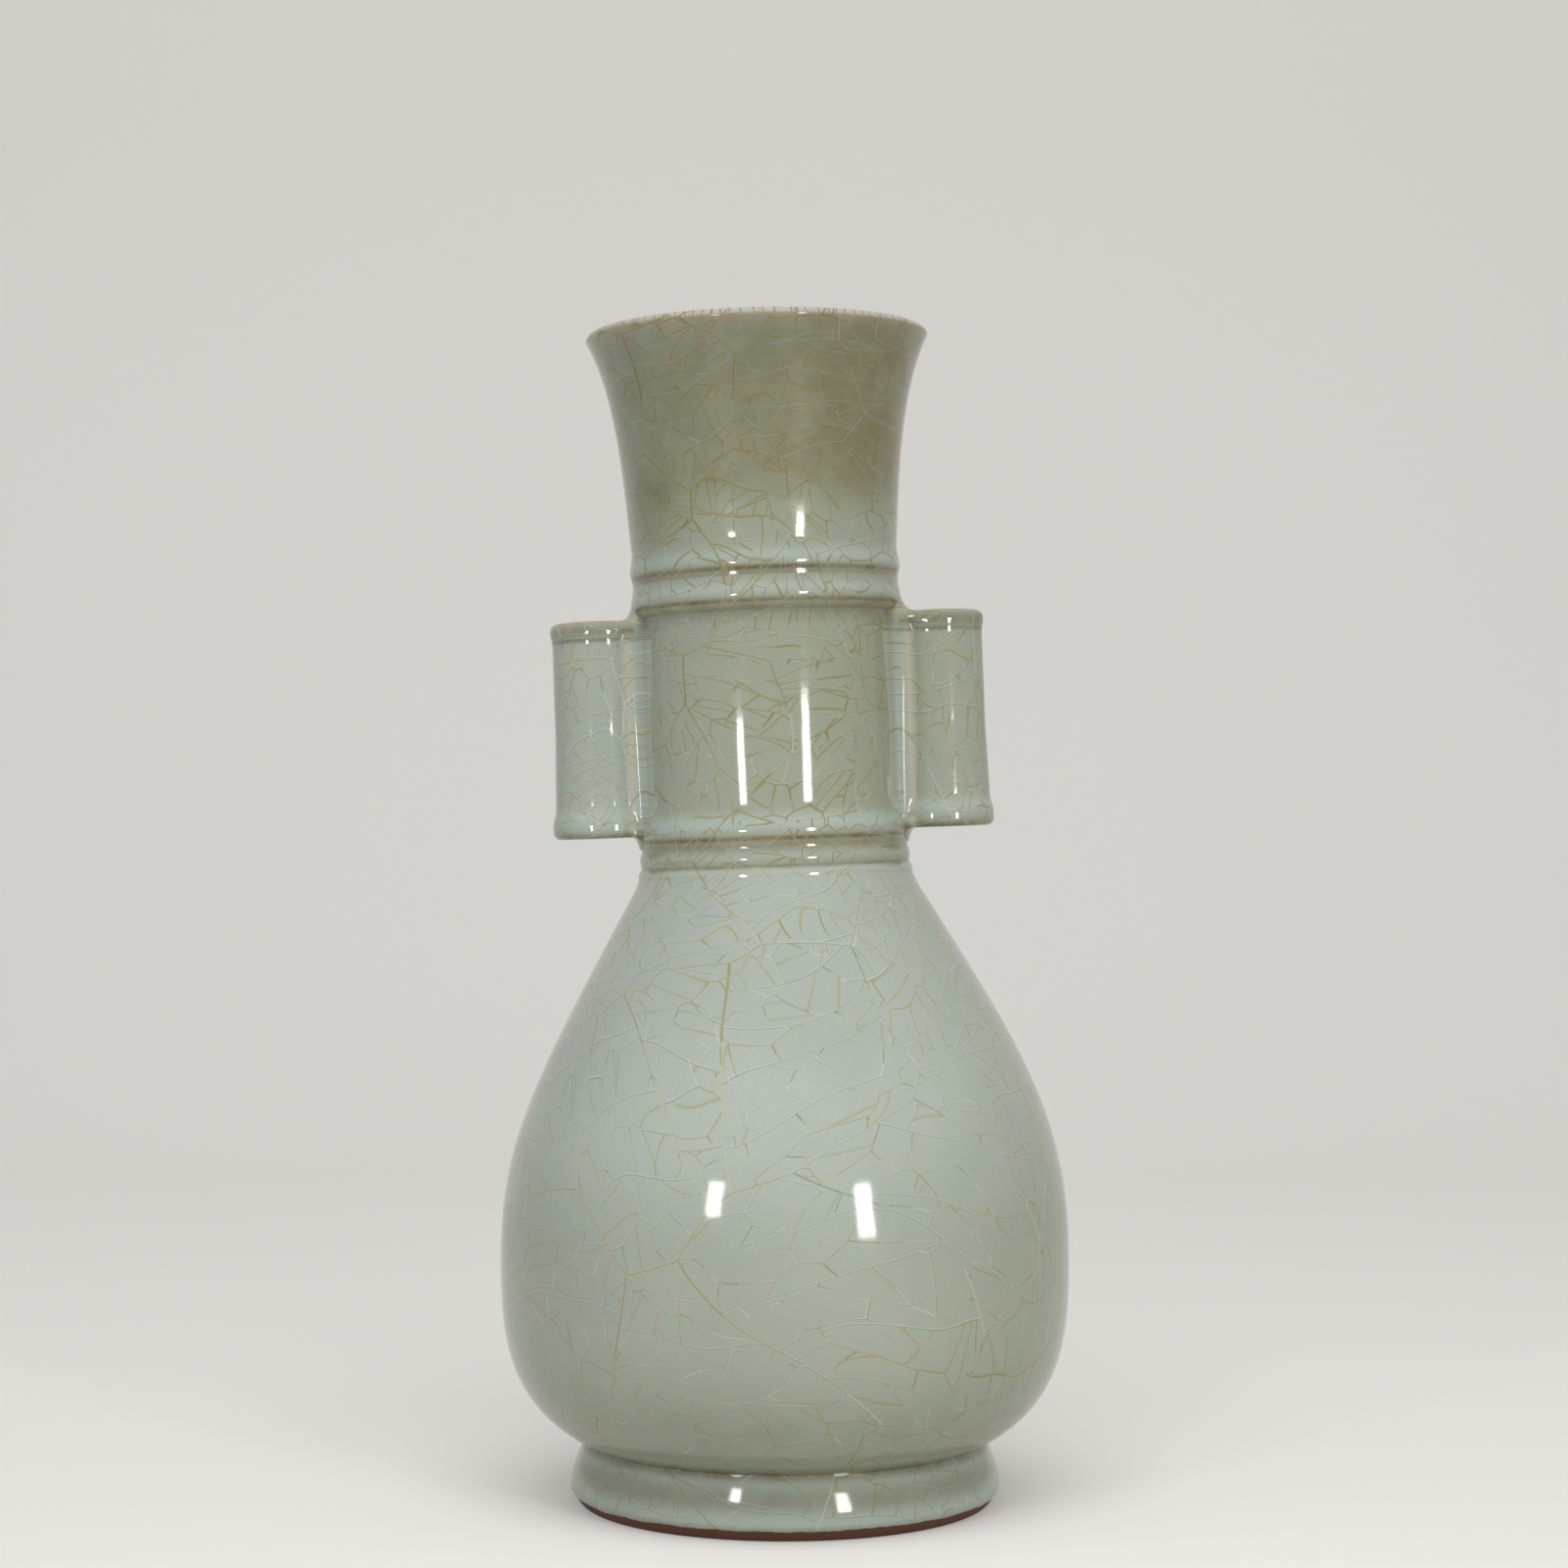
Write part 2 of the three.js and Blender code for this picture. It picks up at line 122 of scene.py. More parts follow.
@dataclass(frozen=True)
class Form:
    """Shared sizes of the thrown form in millimetres, and the lean of its neck."""

    foot_height: float = 18.5
    bowl_height: float = 53.5
    shoulder_height: float = 118.3
    band_pitch: float = 7.0
    groove_spacing: float = 77.9
    mouth_height: float = 76.0
    mouth_band_height: float = 10.5
    belly_radius: float = 85.4
    neck_radius: float = 38.3
    band_proud: float = 2.5
    groove_proud: float = 1.8
    flare_spread: float = 11.6
    foot_radius: float = 64.4
    foot_top_radius: float = 60.5
    belly_wall: float = 6.0
    neck_wall: float = 5.0
    lip_wall: float = 4.0
    floor_thickness: float = 8.0
    bowl_leave: tuple[float, float] = (22.5, 11.5)
    bowl_fullness: float = 23.0
    shoulder_fullness: float = 38.5
    shoulder_arrive: tuple[float, float] = (31.2, -53.5)
    neck_turn: tuple[float, float] = (2.8, -8.0)
    flare_leave: tuple[float, float] = (1.9, 31.3)
    flare_arrive: tuple[float, float] = (-6.9, -13.2)
    lean: float = math.radians(2.05)
    lean_span: float = 72.0
    truing: float = math.radians(0.6)

    @property
    def widest(self) -> float:
        """Height of the belly's widest place."""
        return self.foot_height + self.bowl_height

    @property
    def neck_base(self) -> float:
        """Height of the faint groove between shoulder and neck."""
        return self.widest + self.shoulder_height

    @property
    def lower_groove(self) -> float:
        """Height of the groove between the two lower bands."""
        return self.neck_base + self.band_pitch

    @property
    def upper_groove(self) -> float:
        """Height of the groove between the two upper bands."""
        return self.lower_groove + self.groove_spacing

    @property
    def flare_base(self) -> float:
        """Height at which the mouth starts to open."""
        return self.upper_groove + self.mouth_band_height

    @property
    def top(self) -> float:
        """Height of the lip."""
        return self.upper_groove + self.mouth_height

    @property
    def band_radius(self) -> float:
        """Radius of the raised bands."""
        return self.neck_radius + self.band_proud

    @property
    def groove_radius(self) -> float:
        """Radius at the bottom of a groove."""
        return self.neck_radius + self.groove_proud

    @property
    def lip_radius(self) -> float:
        """Outer radius of the lip."""
        return self.groove_radius + self.flare_spread

    @property
    def bore(self) -> float:
        """Inner radius of the neck."""
        return self.neck_radius - self.neck_wall

    def bowl_curve(self) -> Knots:
        """Bezier points of the outside from the foot to the widest place.

        Returns:
            The curve's ends and handles, from the foot up.
        """
        start = Vector((self.foot_top_radius, self.foot_height))
        end = Vector((self.belly_radius, self.widest))
        return start, start + Vector(self.bowl_leave), end - Vector((0.0, self.bowl_fullness)), end

    def shoulder_curve(self) -> Knots:
        """Bezier points of the outside from the widest place to the hollow under the neck.

        Returns:
            The curve's ends and handles, from the widest place up.
        """
        start = Vector((self.belly_radius, self.widest))
        end = Vector((self.band_radius, self.neck_base)) + Vector(self.neck_turn)
        return start, start + Vector((0.0, self.shoulder_fullness)), end + Vector(self.shoulder_arrive), end

    def neck_turn_curve(self) -> Knots:
        """Bezier points of the short hollow curve under the neck.

        Returns:
            The curve's ends and handles, from the shoulder up.
        """
        end = Vector((self.band_radius, self.neck_base))
        start = end + Vector(self.neck_turn)
        slope = self.shoulder_arrive[0] / self.shoulder_arrive[1]
        half = -self.neck_turn[1] / 2
        middle = start + Vector((slope * half, half))
        return start, start.lerp(middle, 2 / 3), end.lerp(middle, 2 / 3), end

    def flare_curve(self) -> Knots:
        """Bezier points of the mouth's outside up to the lip.

        Returns:
            The curve's ends and handles, from the band up.
        """
        start = Vector((self.groove_radius, self.flare_base))
        end = Vector((self.lip_radius, self.top - self.lip_wall / 2))
        return start, start + Vector(self.flare_leave), end + Vector(self.flare_arrive), end

    def leaned(self, x: float, y: float, z: float) -> Vector:
        """Moves a point of the straight form onto the leaning one.

        Args:
            x: Millimetres to the right.
            y: Millimetres to the back.
            z: Millimetres up.

        Returns:
            The point on the leaning form.
        """
        share = min(1.0, max(0.0, (z - self.widest) / self.lean_span))
        level = eased((z - self.upper_groove) / self.mouth_height)
        angle = self.lean * eased(share) - self.truing * level
        bend = self.lean_span * (share**3 - share**4 / 2)
        shift = -self.lean * (bend + max(0.0, z - self.widest - self.lean_span))
        return Vector((shift + x * math.cos(angle), y, z + x * math.sin(angle)))


FORM = Form()


def curve_points(knots: Sequence[Vector], steps: int) -> list[Vector]:
    """Samples a Bezier curve.

    Args:
        knots: Its two ends and two handles.
        steps: Number of stretches.

    Returns:
        steps + 1 points.
    """
    return interpolate_bezier(*[Vector((k.x, k.y)) for k in knots], steps + 1)


def soft_steps(places: Sequence[tuple[float, float]], spacing: float) -> list[Vector]:
    """Joins places with soft steps that start and end level, as a rib leaves a band.

    Args:
        places: Radius and height of each crest and groove.
        spacing: Height between points.

    Returns:
        The points, with both ends.
    """
    points = []
    for (r0, z0), (r1, z1) in zip(places, places[1:]):
        count = max(4, round((z1 - z0) / spacing))
        for i in range(count):
            share = i / count
            points.append(Vector((r0 + (r1 - r0) * eased(share), z0 + (z1 - z0) * share)))
    return [*points, Vector(places[-1])]


def inside_of(points: Sequence[Vector], wall: Callable[[float], float]) -> list[Vector]:
    """Moves an outside inwards through its wall.

    Args:
        points: The outside, from the bottom up.
        wall: Gives the wall at a share from 0 to 1 of the way up.

    Returns:
        The inside, from the bottom up.
    """
    moved = []
    last = len(points) - 1
    for i, point in enumerate(points):
        along = (points[min(last, i + 1)] - points[max(0, i - 1)]).normalized()
        moved.append(point + Vector((-along.y, along.x)) * wall(i / last))
    return moved


def wobble(point: Vector) -> Vector:
    """The slight unevenness of a thrown wall and its thick glaze.

    Args:
        point: A place on the form, in millimetres.

    Returns:
        The level move of that place, in millimetres.
    """
    moves = [noise.noise_vector(point / across) * depth for across, depth in SWELLS]
    return sum(moves, Vector()) * Vector((1.0, 1.0, 0.0))


def new_object(name: str, bm: bmesh.types.BMesh) -> bpy.types.Object:
    """Makes an object of a finished bmesh in millimetres and frees it.

    Args:
        name: The piece's name.
        bm: Its mesh.

    Returns:
        The object, at the origin and in metres.
    """
    bmesh.ops.scale(bm, vec=(MM, MM, MM), verts=bm.verts)
    mesh = bpy.data.meshes.new(name)
    bm.to_mesh(mesh)
    bm.free()
    made = bpy.data.objects.new(name, mesh)
    bpy.context.scene.collection.objects.link(made)
    return made


@dataclass(frozen=True)
class Turning:
    """A profile to turn about the axis: the flat under side, the outside going up, then the inside."""

    outside: list[Vector]
    inside: list[Vector]
    under: tuple[Vector, ...] = ()
    floor: tuple[Vector, ...] = ()

    @property
    def points(self) -> list[Vector]:
        """All points in order."""
        return [*self.under, *self.outside, *self.inside, *self.floor]

    @property
    def closed(self) -> bool:
        """Whether the last point joins the first, because neither lies on the axis."""
        return not self.under

    def rises(self, start: float, grain: Callable[[float], float]) -> list[float]:
        """Runs the glaze's pattern up the profile.

        Args:
            start: Pattern height at the first outside point.
            grain: Gives how much larger the pattern is drawn at a radius.

        Returns:
            The pattern height of each point.
        """
        points = self.points
        rises = [start] * len(points)
        for i in range(len(self.under) + 1, len(points)):
            length = (points[i] - points[i - 1]).length
            rises[i] = rises[i - 1] + length * grain((points[i].x + points[i - 1].x) / 2)
        return rises


@dataclass
class Piece:
    """One piece of the vase, which rides its one body and stands for its node of the CAD."""

    name: str
    node: str
    slot: Slot = Slot.CELADON

    def hand_over(self, made: bpy.types.Object) -> None:
        """Puts the piece on its body and hides the node of the CAD that it stands for.

        Args:
            made: The finished piece.
        """
        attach(made, BODY)
        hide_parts(self.node)

    def dress(self, made: bpy.types.Object, glazes: dict[Slot, bpy.types.Material]) -> None:
        """Gives the finished piece the glaze of its slot."""
        made.data.materials.clear()
        made.data.materials.append(glazes[self.slot])


@dataclass
class Section(Piece):
    """A thrown section: a profile turned about the axis, with the patches of its glaze."""

    segments: int = 256
    girth: float = 78.0
    least_radius: float = 12.0
    sharp_from: float = math.radians(50)
    rest_fade: float = 4.0
    plain_within: float = 0.0
    plain_warmth: float = 0.4
    thins: tuple[Patch, ...] = ()
    stains_and_shade: tuple[Patch, ...] = ()
    pools: tuple[Patch, ...] = ()

    def turning(self) -> Turning:
        """Gives the section's profile."""
        raise NotImplementedError

    def warmth(self, z: float, turn: float) -> float:
        """How warm the glaze is at a height and at an angle from the front."""
        return 0.0

    def dull(self, z: float, turn: float) -> float:
        """How matt the glaze is, from 0 to 1, at a height and at an angle from the front."""
        return 0.0

    def marks(self, r: float, z: float, turn: float) -> Marks:
        """How the glaze lies at a place.

        Args:
            r: Distance from the axis in millimetres.
            z: Height in millimetres on the straight form.
            turn: Angle from the front, positive to the right.

        Returns:
            Shares of thin glaze, of staining and painted shade, of warm tone and of pooled glaze.
        """
        if r < self.plain_within:
            return 0.0, 0.0, self.plain_warmth, 0.0
        thin, stain_and_shade, pool = [strongest(found, z, turn) for found in (self.thins, self.stains_and_shade, self.pools)]
        return thin, stain_and_shade, self.warmth(z, turn), pool

    def grain(self, r: float) -> float:
        """How much larger the pattern is drawn at a radius, so that a narrower neck has finer cracks."""
        return (self.girth / max(self.least_radius, r)) ** 0.75

    def lay_pattern(
        self, bm: bmesh.types.BMesh, rise: bmesh.types.BMLayerItem, flat: bmesh.types.BMLayerItem
    ) -> None:
        """Wraps the glaze's pattern around the straight form, in millimetres.

        Args:
            bm: The turned mesh.
            rise: The points' pattern heights.
            flat: 1 on points of the level floor and under side.
        """
        pattern = bm.loops.layers.uv.new(PATTERN)
        for face in bm.faces:
            if all(vert[flat] > 0.5 for vert in face.verts):
                for loop in face.loops:
                    loop[pattern].uv = loop.vert.co.xy + Vector((LEVEL_START, 0.0))
                continue
            turns = [math.atan2(loop.vert.co.x, -loop.vert.co.y) for loop in face.loops]
            if max(turns) - min(turns) > math.pi:
                turns = [turn + math.tau if turn < 0 else turn for turn in turns]
            for loop, turn in zip(face.loops, turns):
                r = loop.vert.co.xy.length
                loop[pattern].uv = (turn * r * self.grain(r), loop.vert[rise])

    def build(self, start: float) -> tuple[bpy.types.Object, float]:
        """Turns the profile, leans it and hands the piece to the frame.

        Args:
            start: Height of the glaze's pattern at the section's foot.

        Returns:
            The finished piece, without a material, and the pattern's height at its head.
        """
        turning = self.turning()
        points = turning.points
        rises = turning.rises(start, self.grain)
        bm = bmesh.new()
        rise = bm.verts.layers.float.new("rise")
        flat = bm.verts.layers.float.new("flat")
        verts = []
        for i, (point, height) in enumerate(zip(points, rises)):
            vert = bm.verts.new((point.x, 0.0, point.y))
            vert[rise] = height
            vert[flat] = float(i < len(turning.under) or i >= len(points) - len(turning.floor))
            verts.append(vert)
        pairs = list(zip(verts, verts[1:]))
        if turning.closed:
            pairs.append((verts[-1], verts[0]))
        edges = [bm.edges.new(pair) for pair in pairs]
        bmesh.ops.spin(
            bm, geom=verts + edges, cent=(0, 0, 0), axis=(0, 0, 1), angle=math.tau,
            steps=self.segments, use_merge=True,
        )
        bmesh.ops.remove_doubles(bm, verts=bm.verts, dist=0.001)
        bmesh.ops.recalc_face_normals(bm, faces=bm.faces)
        self.lay_pattern(bm, rise, flat)
        for face in bm.faces:
            face.smooth = True
        for edge in bm.edges:
            edge.smooth = edge.calc_face_angle(0.0) < self.sharp_from
        layers = [bm.verts.layers.float.new(mark) for mark in MARKS]
        for vert in bm.verts:
            x, y, z = vert.co
            r = math.hypot(x, y)
            turn = math.atan2(x, -y)
            grain = 1.0 if vert[flat] > 0.5 else self.grain(r)
            for layer, value in zip(layers, (*self.marks(r, z, turn), self.dull(z, turn), grain)):
                vert[layer] = value
            uneven = wobble(vert.co) * min(1.0, z / self.rest_fade)
            vert.co = FORM.leaned(x, y, z) + uneven
        made = new_object(self.name, bm)
        self.hand_over(made)
        return made, rises[len(turning.under) + len(turning.outside) - 1]


@dataclass
class FootRing(Section):
    """The turned foot ring, with patches of staining, the one at its top under the belly deepened into
    painted shade, and with blue glaze pooled over its bare edge.
    """

    rest_radius: float = 60.7
    inner_radius: float = 55.5
    draft: float = 1.5
    bare_height: float = 3.1
    swell_height: float = 4.8
    swell_rise: float = 1.3
    bevel: float = 0.6
    batter: float = math.radians(24)
    batter_reach: float = 8.5
    cut_round: float = 0.4
    rim_round: float = 0.2
    # Staining at the top deepened into painted shade under the belly, and staining across the middle
    stains_and_shade: tuple[Patch, ...] = (Patch(0.7, FORM.foot_height, 1.6), Patch(0.35, 11.5, 2.6))
    pools: tuple[Patch, ...] = (Patch(0.7, 6.0, 2.6), Patch(0.4, 16.0, 1.4))

    def turning(self) -> Turning:
        """Gives the ring's profile: flat resting face, bare bevel, swelling and waist.

        Returns:
            A closed profile.
        """
        widest = Vector((FORM.foot_radius, self.swell_height))
        waist = Vector((FORM.foot_top_radius, FORM.foot_height))
        slope = Vector((math.sin(self.batter), -math.cos(self.batter))) * self.batter_reach
        side = curve_points((widest, widest + Vector((0.0, self.swell_rise)), waist + slope, waist), 28)
        rest = Vector((self.rest_radius, 0.0))
        line = Vector((FORM.foot_radius - (self.swell_height - self.bare_height) / 2, self.bare_height))
        cut = curve_points((
            rest,
            rest.lerp(line, 0.3) + Vector((self.cut_round, -self.cut_round)),
            rest.lerp(line, 0.7),
            line,
        ), 8)
        rim = line.lerp(widest, 0.5) + Vector((self.rim_round, 0.0))
        inner_rest = Vector((self.inner_radius + self.bevel, 0.0))
        inner_low = Vector((self.inner_radius, self.bevel))
        inner_top = Vector((self.inner_radius - self.draft, FORM.foot_height))
        inside = [inner_top.lerp(inner_low, i / 8) for i in range(9)]
        return Turning([*cut, rim, *side], [*inside, inner_rest])

    def warmth(self, z: float, turn: float) -> float:
        """Fairly warm all over."""
        return 0.6


@dataclass
class Bowl(Section):
    """The lower belly with the vase's floor, darkened in the corner over the foot by staining deepened into
    painted shade.
    """

    cove: float = 3.0
    cove_sag: float = 0.8
    cove_run: float = 4.0
    # Staining in the corner over the foot deepened into painted shade, and faint staining up the lower
    # belly
    stains_and_shade: tuple[Patch, ...] = (Patch(0.8, FORM.foot_height, 2.6), Patch(0.2, 30.0, 12.0))

    def turning(self) -> Turning:
        """Gives the bowl's profile.

        Returns:
            A profile from the under side's middle to the floor's.
        """
        outside = curve_points(FORM.bowl_curve(), 52)
        floor = FORM.foot_height + FORM.floor_thickness
        inside = inside_of(outside, lambda share: FORM.belly_wall)
        inside[-1] = Vector((FORM.belly_radius - FORM.belly_wall, FORM.widest))
        inside = [p for p in inside if p.y > floor + self.cove]
        foot = inside[0]
        end = Vector((foot.x - 3 * self.cove, floor))
        corner = curve_points((
            foot,
            foot.lerp(end, 0.3) - Vector((0.0, self.cove_sag)),
            end + Vector((self.cove_run, 0.0)),
            end,
        ), 6)[1:]
        under = [Vector((FORM.foot_top_radius * i / 6, FORM.foot_height)) for i in range(6)]
        across = [Vector((end.x * (5 - i) / 6, floor)) for i in range(6)]
        return Turning(outside, [*reversed(inside), *corner[:-1]], tuple(under), (corner[-1], *across))

    def warmth(self, z: float, turn: float) -> float:
        """Warmest over the foot and on the right."""
        return 0.75 - 0.4 * z / FORM.widest + 0.3 * eased(math.sin(turn))


@dataclass
class Shoulder(Section):
    """The upper belly up to the base of the neck, clean but for the faint groove there, darkened by
    staining and painted shade.
    """

    notch: float = 0.35
    notch_reach: float = 0.8
    bead: float = 0.3
    bead_drop: float = 1.7
    bead_reach: float = 1.0
    thins: tuple[Patch, ...] = (Patch(0.2, FORM.neck_base - bead_drop, bead_reach),)
    # Staining in the faint groove, deepened into painted shade
    stains_and_shade: tuple[Patch, ...] = (Patch(0.6, FORM.neck_base, 0.6),)

    def turning(self) -> Turning:
        """Gives the shoulder's profile.

        Returns:
            A closed profile.
        """
        outside = curve_points(FORM.shoulder_curve(), 72)
        turn = []
        for point in curve_points(FORM.neck_turn_curve(), 18)[1:]:
            bead = self.bead * near(point.y, FORM.neck_base - self.bead_drop, self.bead_reach)
            notch = self.notch * near(point.y, FORM.neck_base, self.notch_reach)
            turn.append(point + Vector((bead, 0.0)) - Vector((notch, 0.0)))
        inside = inside_of(outside[::2], lambda share: FORM.belly_wall)
        inside[0] = Vector((FORM.belly_radius - FORM.belly_wall, FORM.widest))
        inside = [p for p in inside if p.x > FORM.bore] + [Vector((FORM.bore, FORM.neck_base))]
        return Turning([*outside, *turn], list(reversed(inside)))

    def warmth(self, z: float, turn: float) -> float:
        """Warmest at the widest place and on the right."""
        return 0.35 * (1 - eased((z - FORM.widest) / 50)) + 0.3 * eased(math.sin(turn))


@dataclass
class Neck(Section):
    """The neck, with its bands and its recessed plain wall.

    It is darkened in grooves and under the upper band by staining deepened into painted shade, with glaze
    pooled over each edge it ran down to.
    """

    notch: float = 0.35
    lower_crest: float = 2.2
    hollow: float = 1.1
    crest_rise: float = 3.6
    ledge_leave: tuple[float, float] = (0.05, 1.9)
    ledge_arrive: tuple[float, float] = (0.0, -2.0)
    edge_drop: float = 9.8
    edge_height: float = 4.4
    edge_leave: tuple[float, float] = (0.7, 0.15)
    edge_arrive: tuple[float, float] = (-0.1, -2.6)
    belly: float = 0.3
    taper: float = 0.3
    ledge: float = FORM.lower_groove + 1.2
    edge: float = FORM.upper_groove - 7.4
    plain_within: float = FORM.neck_radius - 1
    thins: tuple[Patch, ...] = (Patch(0.35, ledge - 0.6, 1.4), Patch(0.4, edge - 0.4, 1.2))
    # Staining under each brow and in the groove at the neck's base, deepened into painted shade where the
    # bands overhang
    stains_and_shade: tuple[Patch, ...] = (
        Patch(1.0, ledge, 0.9),
        Patch(0.55, ledge - 1.6, 1.9),
        Patch(1.0, edge, 0.8),
        Patch(0.5, edge - 1.6, 2.0),
        Patch(0.6, FORM.neck_base, 0.6),
    )
    pools: tuple[Patch, ...] = (
        Patch(0.9, ledge + 4.6, 2.6),
        Patch(0.8, edge + 3.6, 2.0),
        Patch(0.35, ledge - 5.2, 1.6),
    )

    def turning(self) -> Turning:
        """Gives the neck's profile.

        Returns:
            A closed profile.
        """
        crest = FORM.band_radius
        hollow = Vector((FORM.groove_radius, FORM.lower_groove - self.hollow))
        brow = Vector((crest, FORM.lower_groove + self.crest_rise))
        foot = Vector((FORM.neck_radius + self.taper, brow.y + FORM.band_pitch))
        head = Vector((FORM.neck_radius - self.taper, FORM.upper_groove - self.edge_drop))
        lower = soft_steps([
            (crest - self.notch, FORM.neck_base),
            (crest, FORM.neck_base + self.lower_crest),
            tuple(hollow),
        ], 0.35)
        ledge = curve_points((
            hollow,
            hollow + Vector(self.ledge_leave),
            brow + Vector(self.ledge_arrive),
            brow,
        ), 14)
        fade = soft_steps([tuple(brow), tuple(foot)], 0.4)
        wall = []
        for i in range(1, 24):
            point = foot.lerp(head, i / 24)
            wall.append(point + Vector((self.belly * math.sin(math.pi * i / 24) ** 2, 0.0)))
        top = Vector((crest, head.y + self.edge_height))
        edge = curve_points((head, head + Vector(self.edge_leave), top + Vector(self.edge_arrive), top), 20)
        upper = soft_steps([tuple(top), (FORM.groove_radius, FORM.upper_groove)], 0.4)
        rise = FORM.upper_groove - FORM.neck_base
        inside = [Vector((FORM.bore, FORM.upper_groove - rise * i / 24)) for i in range(25)]
        return Turning([*lower[:-1], *ledge[:-1], *fade[:-1], *wall[:-1], *edge, *upper[1:]], inside)

    def warmth(self, z: float, turn: float) -> float:
        """Warm all round, and warmest on the right."""
        return 0.78 + 0.17 * math.sin(turn)


@dataclass
class Mouth(Section):
    """The mouth, with its band, its flare and its rounded lip.

    It is bare-looking on the lip, pooled over the groove and warm between, most on the right.
    """

    crest_rise: float = 4.2
    ledge_leave: tuple[float, float] = (0.05, 2.4)
    ledge_arrive: tuple[float, float] = (0.0, -1.7)
    step: float = 0.14
    step_reach: float = 2.0
    dull_start: float = 5.0
    dull_end: float = 11.0
    dull_fade: float = 8.0
    plain_within: float = FORM.neck_radius - 1
    lip: Patch = Patch(1.5, FORM.top, 3.0)
    # Staining up the flare, and in the groove under the band staining deepened into painted shade
    stains_and_shade: tuple[Patch, ...] = (
        Patch(0.4, 318.0, 24.0, turn=0.7, span=0.5),
        Patch(0.5, 300.0, 14.0, turn=-0.9, span=0.3),
        Patch(1.0, FORM.upper_groove + 2.0, 0.9),
        Patch(0.5, FORM.upper_groove + 1.0, 1.8),
    )
    pools: tuple[Patch, ...] = (Patch(0.8, FORM.upper_groove + 5.6, 2.3), Patch(0.15, FORM.top - 8.0, 3.5))

    def turning(self) -> Turning:
        """Gives the mouth's profile.

        Returns:
            A closed profile.
        """
        hollow = Vector((FORM.groove_radius, FORM.upper_groove))
        brow = Vector((FORM.band_radius, FORM.upper_groove + self.crest_rise))
        ledge = curve_points((
            hollow,
            hollow + Vector(self.ledge_leave),
            brow + Vector(self.ledge_arrive),
            brow,
        ), 14)
        band = [*ledge[:-1], *soft_steps([tuple(brow), (FORM.groove_radius, FORM.flare_base)], 0.4)]
        flare = []
        for point in curve_points(FORM.flare_curve(), 96):
            above = point.y - FORM.flare_base
            left = 1 - above / (FORM.top - FORM.flare_base)
            step = self.step * (1 - math.exp(-above / self.step_reach)) * left
            flare.append(point + Vector((step, 0.0)))
        radius = FORM.lip_wall / 2
        centre = Vector((FORM.lip_radius - radius, FORM.top - radius))
        lip = []
        for i in range(1, 17):
            angle = math.pi * i / 16
            lip.append(centre + Vector((math.cos(angle), math.sin(angle))) * radius)
        thick = FORM.groove_radius - FORM.bore
        inside = inside_of(flare[::2], lambda share: thick + (FORM.lip_wall - thick) * share)
        bottom = Vector((FORM.bore, FORM.upper_groove))
        return Turning([*band[:-1], *flare], [*lip, *reversed(inside[:-1]), bottom])

    def marks(self, r: float, z: float, turn: float) -> Marks:
        """Adds the lip's thin glaze, inside and outside alike, and staining that grows up the flare.

        Args:
            r: Distance from the axis in millimetres.
            z: Height in millimetres on the straight form.
            turn: Angle from the front, positive to the right.

        Returns:
            Shares of thin glaze, of staining and painted shade, of warm tone and of pooled glaze.
        """
        _, stain_and_shade, warm, pool = super().marks(r, z, turn)
        if r >= self.plain_within:
            stain_and_shade = max(stain_and_shade, 0.3 * eased((z - FORM.flare_base) / 30))
        return self.lip.at(z, turn), stain_and_shade, warm, pool

    def warmth(self, z: float, turn: float) -> float:
        """Warm over the band, and warmer up the flare towards its front and its right."""
        front = eased(math.cos(turn) / 0.8)
        return 0.75 + (0.12 + 0.13 * front + 0.16 * math.sin(turn)) * eased((z - FORM.flare_base) / 22)

    def dull(self, z: float, turn: float) -> float:
        """How matt the glaze is: only on the flare's front, where its crazing breaks up the gloss.

        Args:
            z: Height in millimetres on the straight form.
            turn: Angle from the front, positive to the right.

        Returns:
            0 for the usual gloss, 1 for the most matt glaze.
        """
        front = eased((math.cos(turn) - 0.2) / 0.65)
        begun = eased((z - FORM.flare_base - self.dull_start) / self.dull_fade)
        return front * begun * (1 - eased((z - FORM.top + self.dull_end) / self.dull_fade))


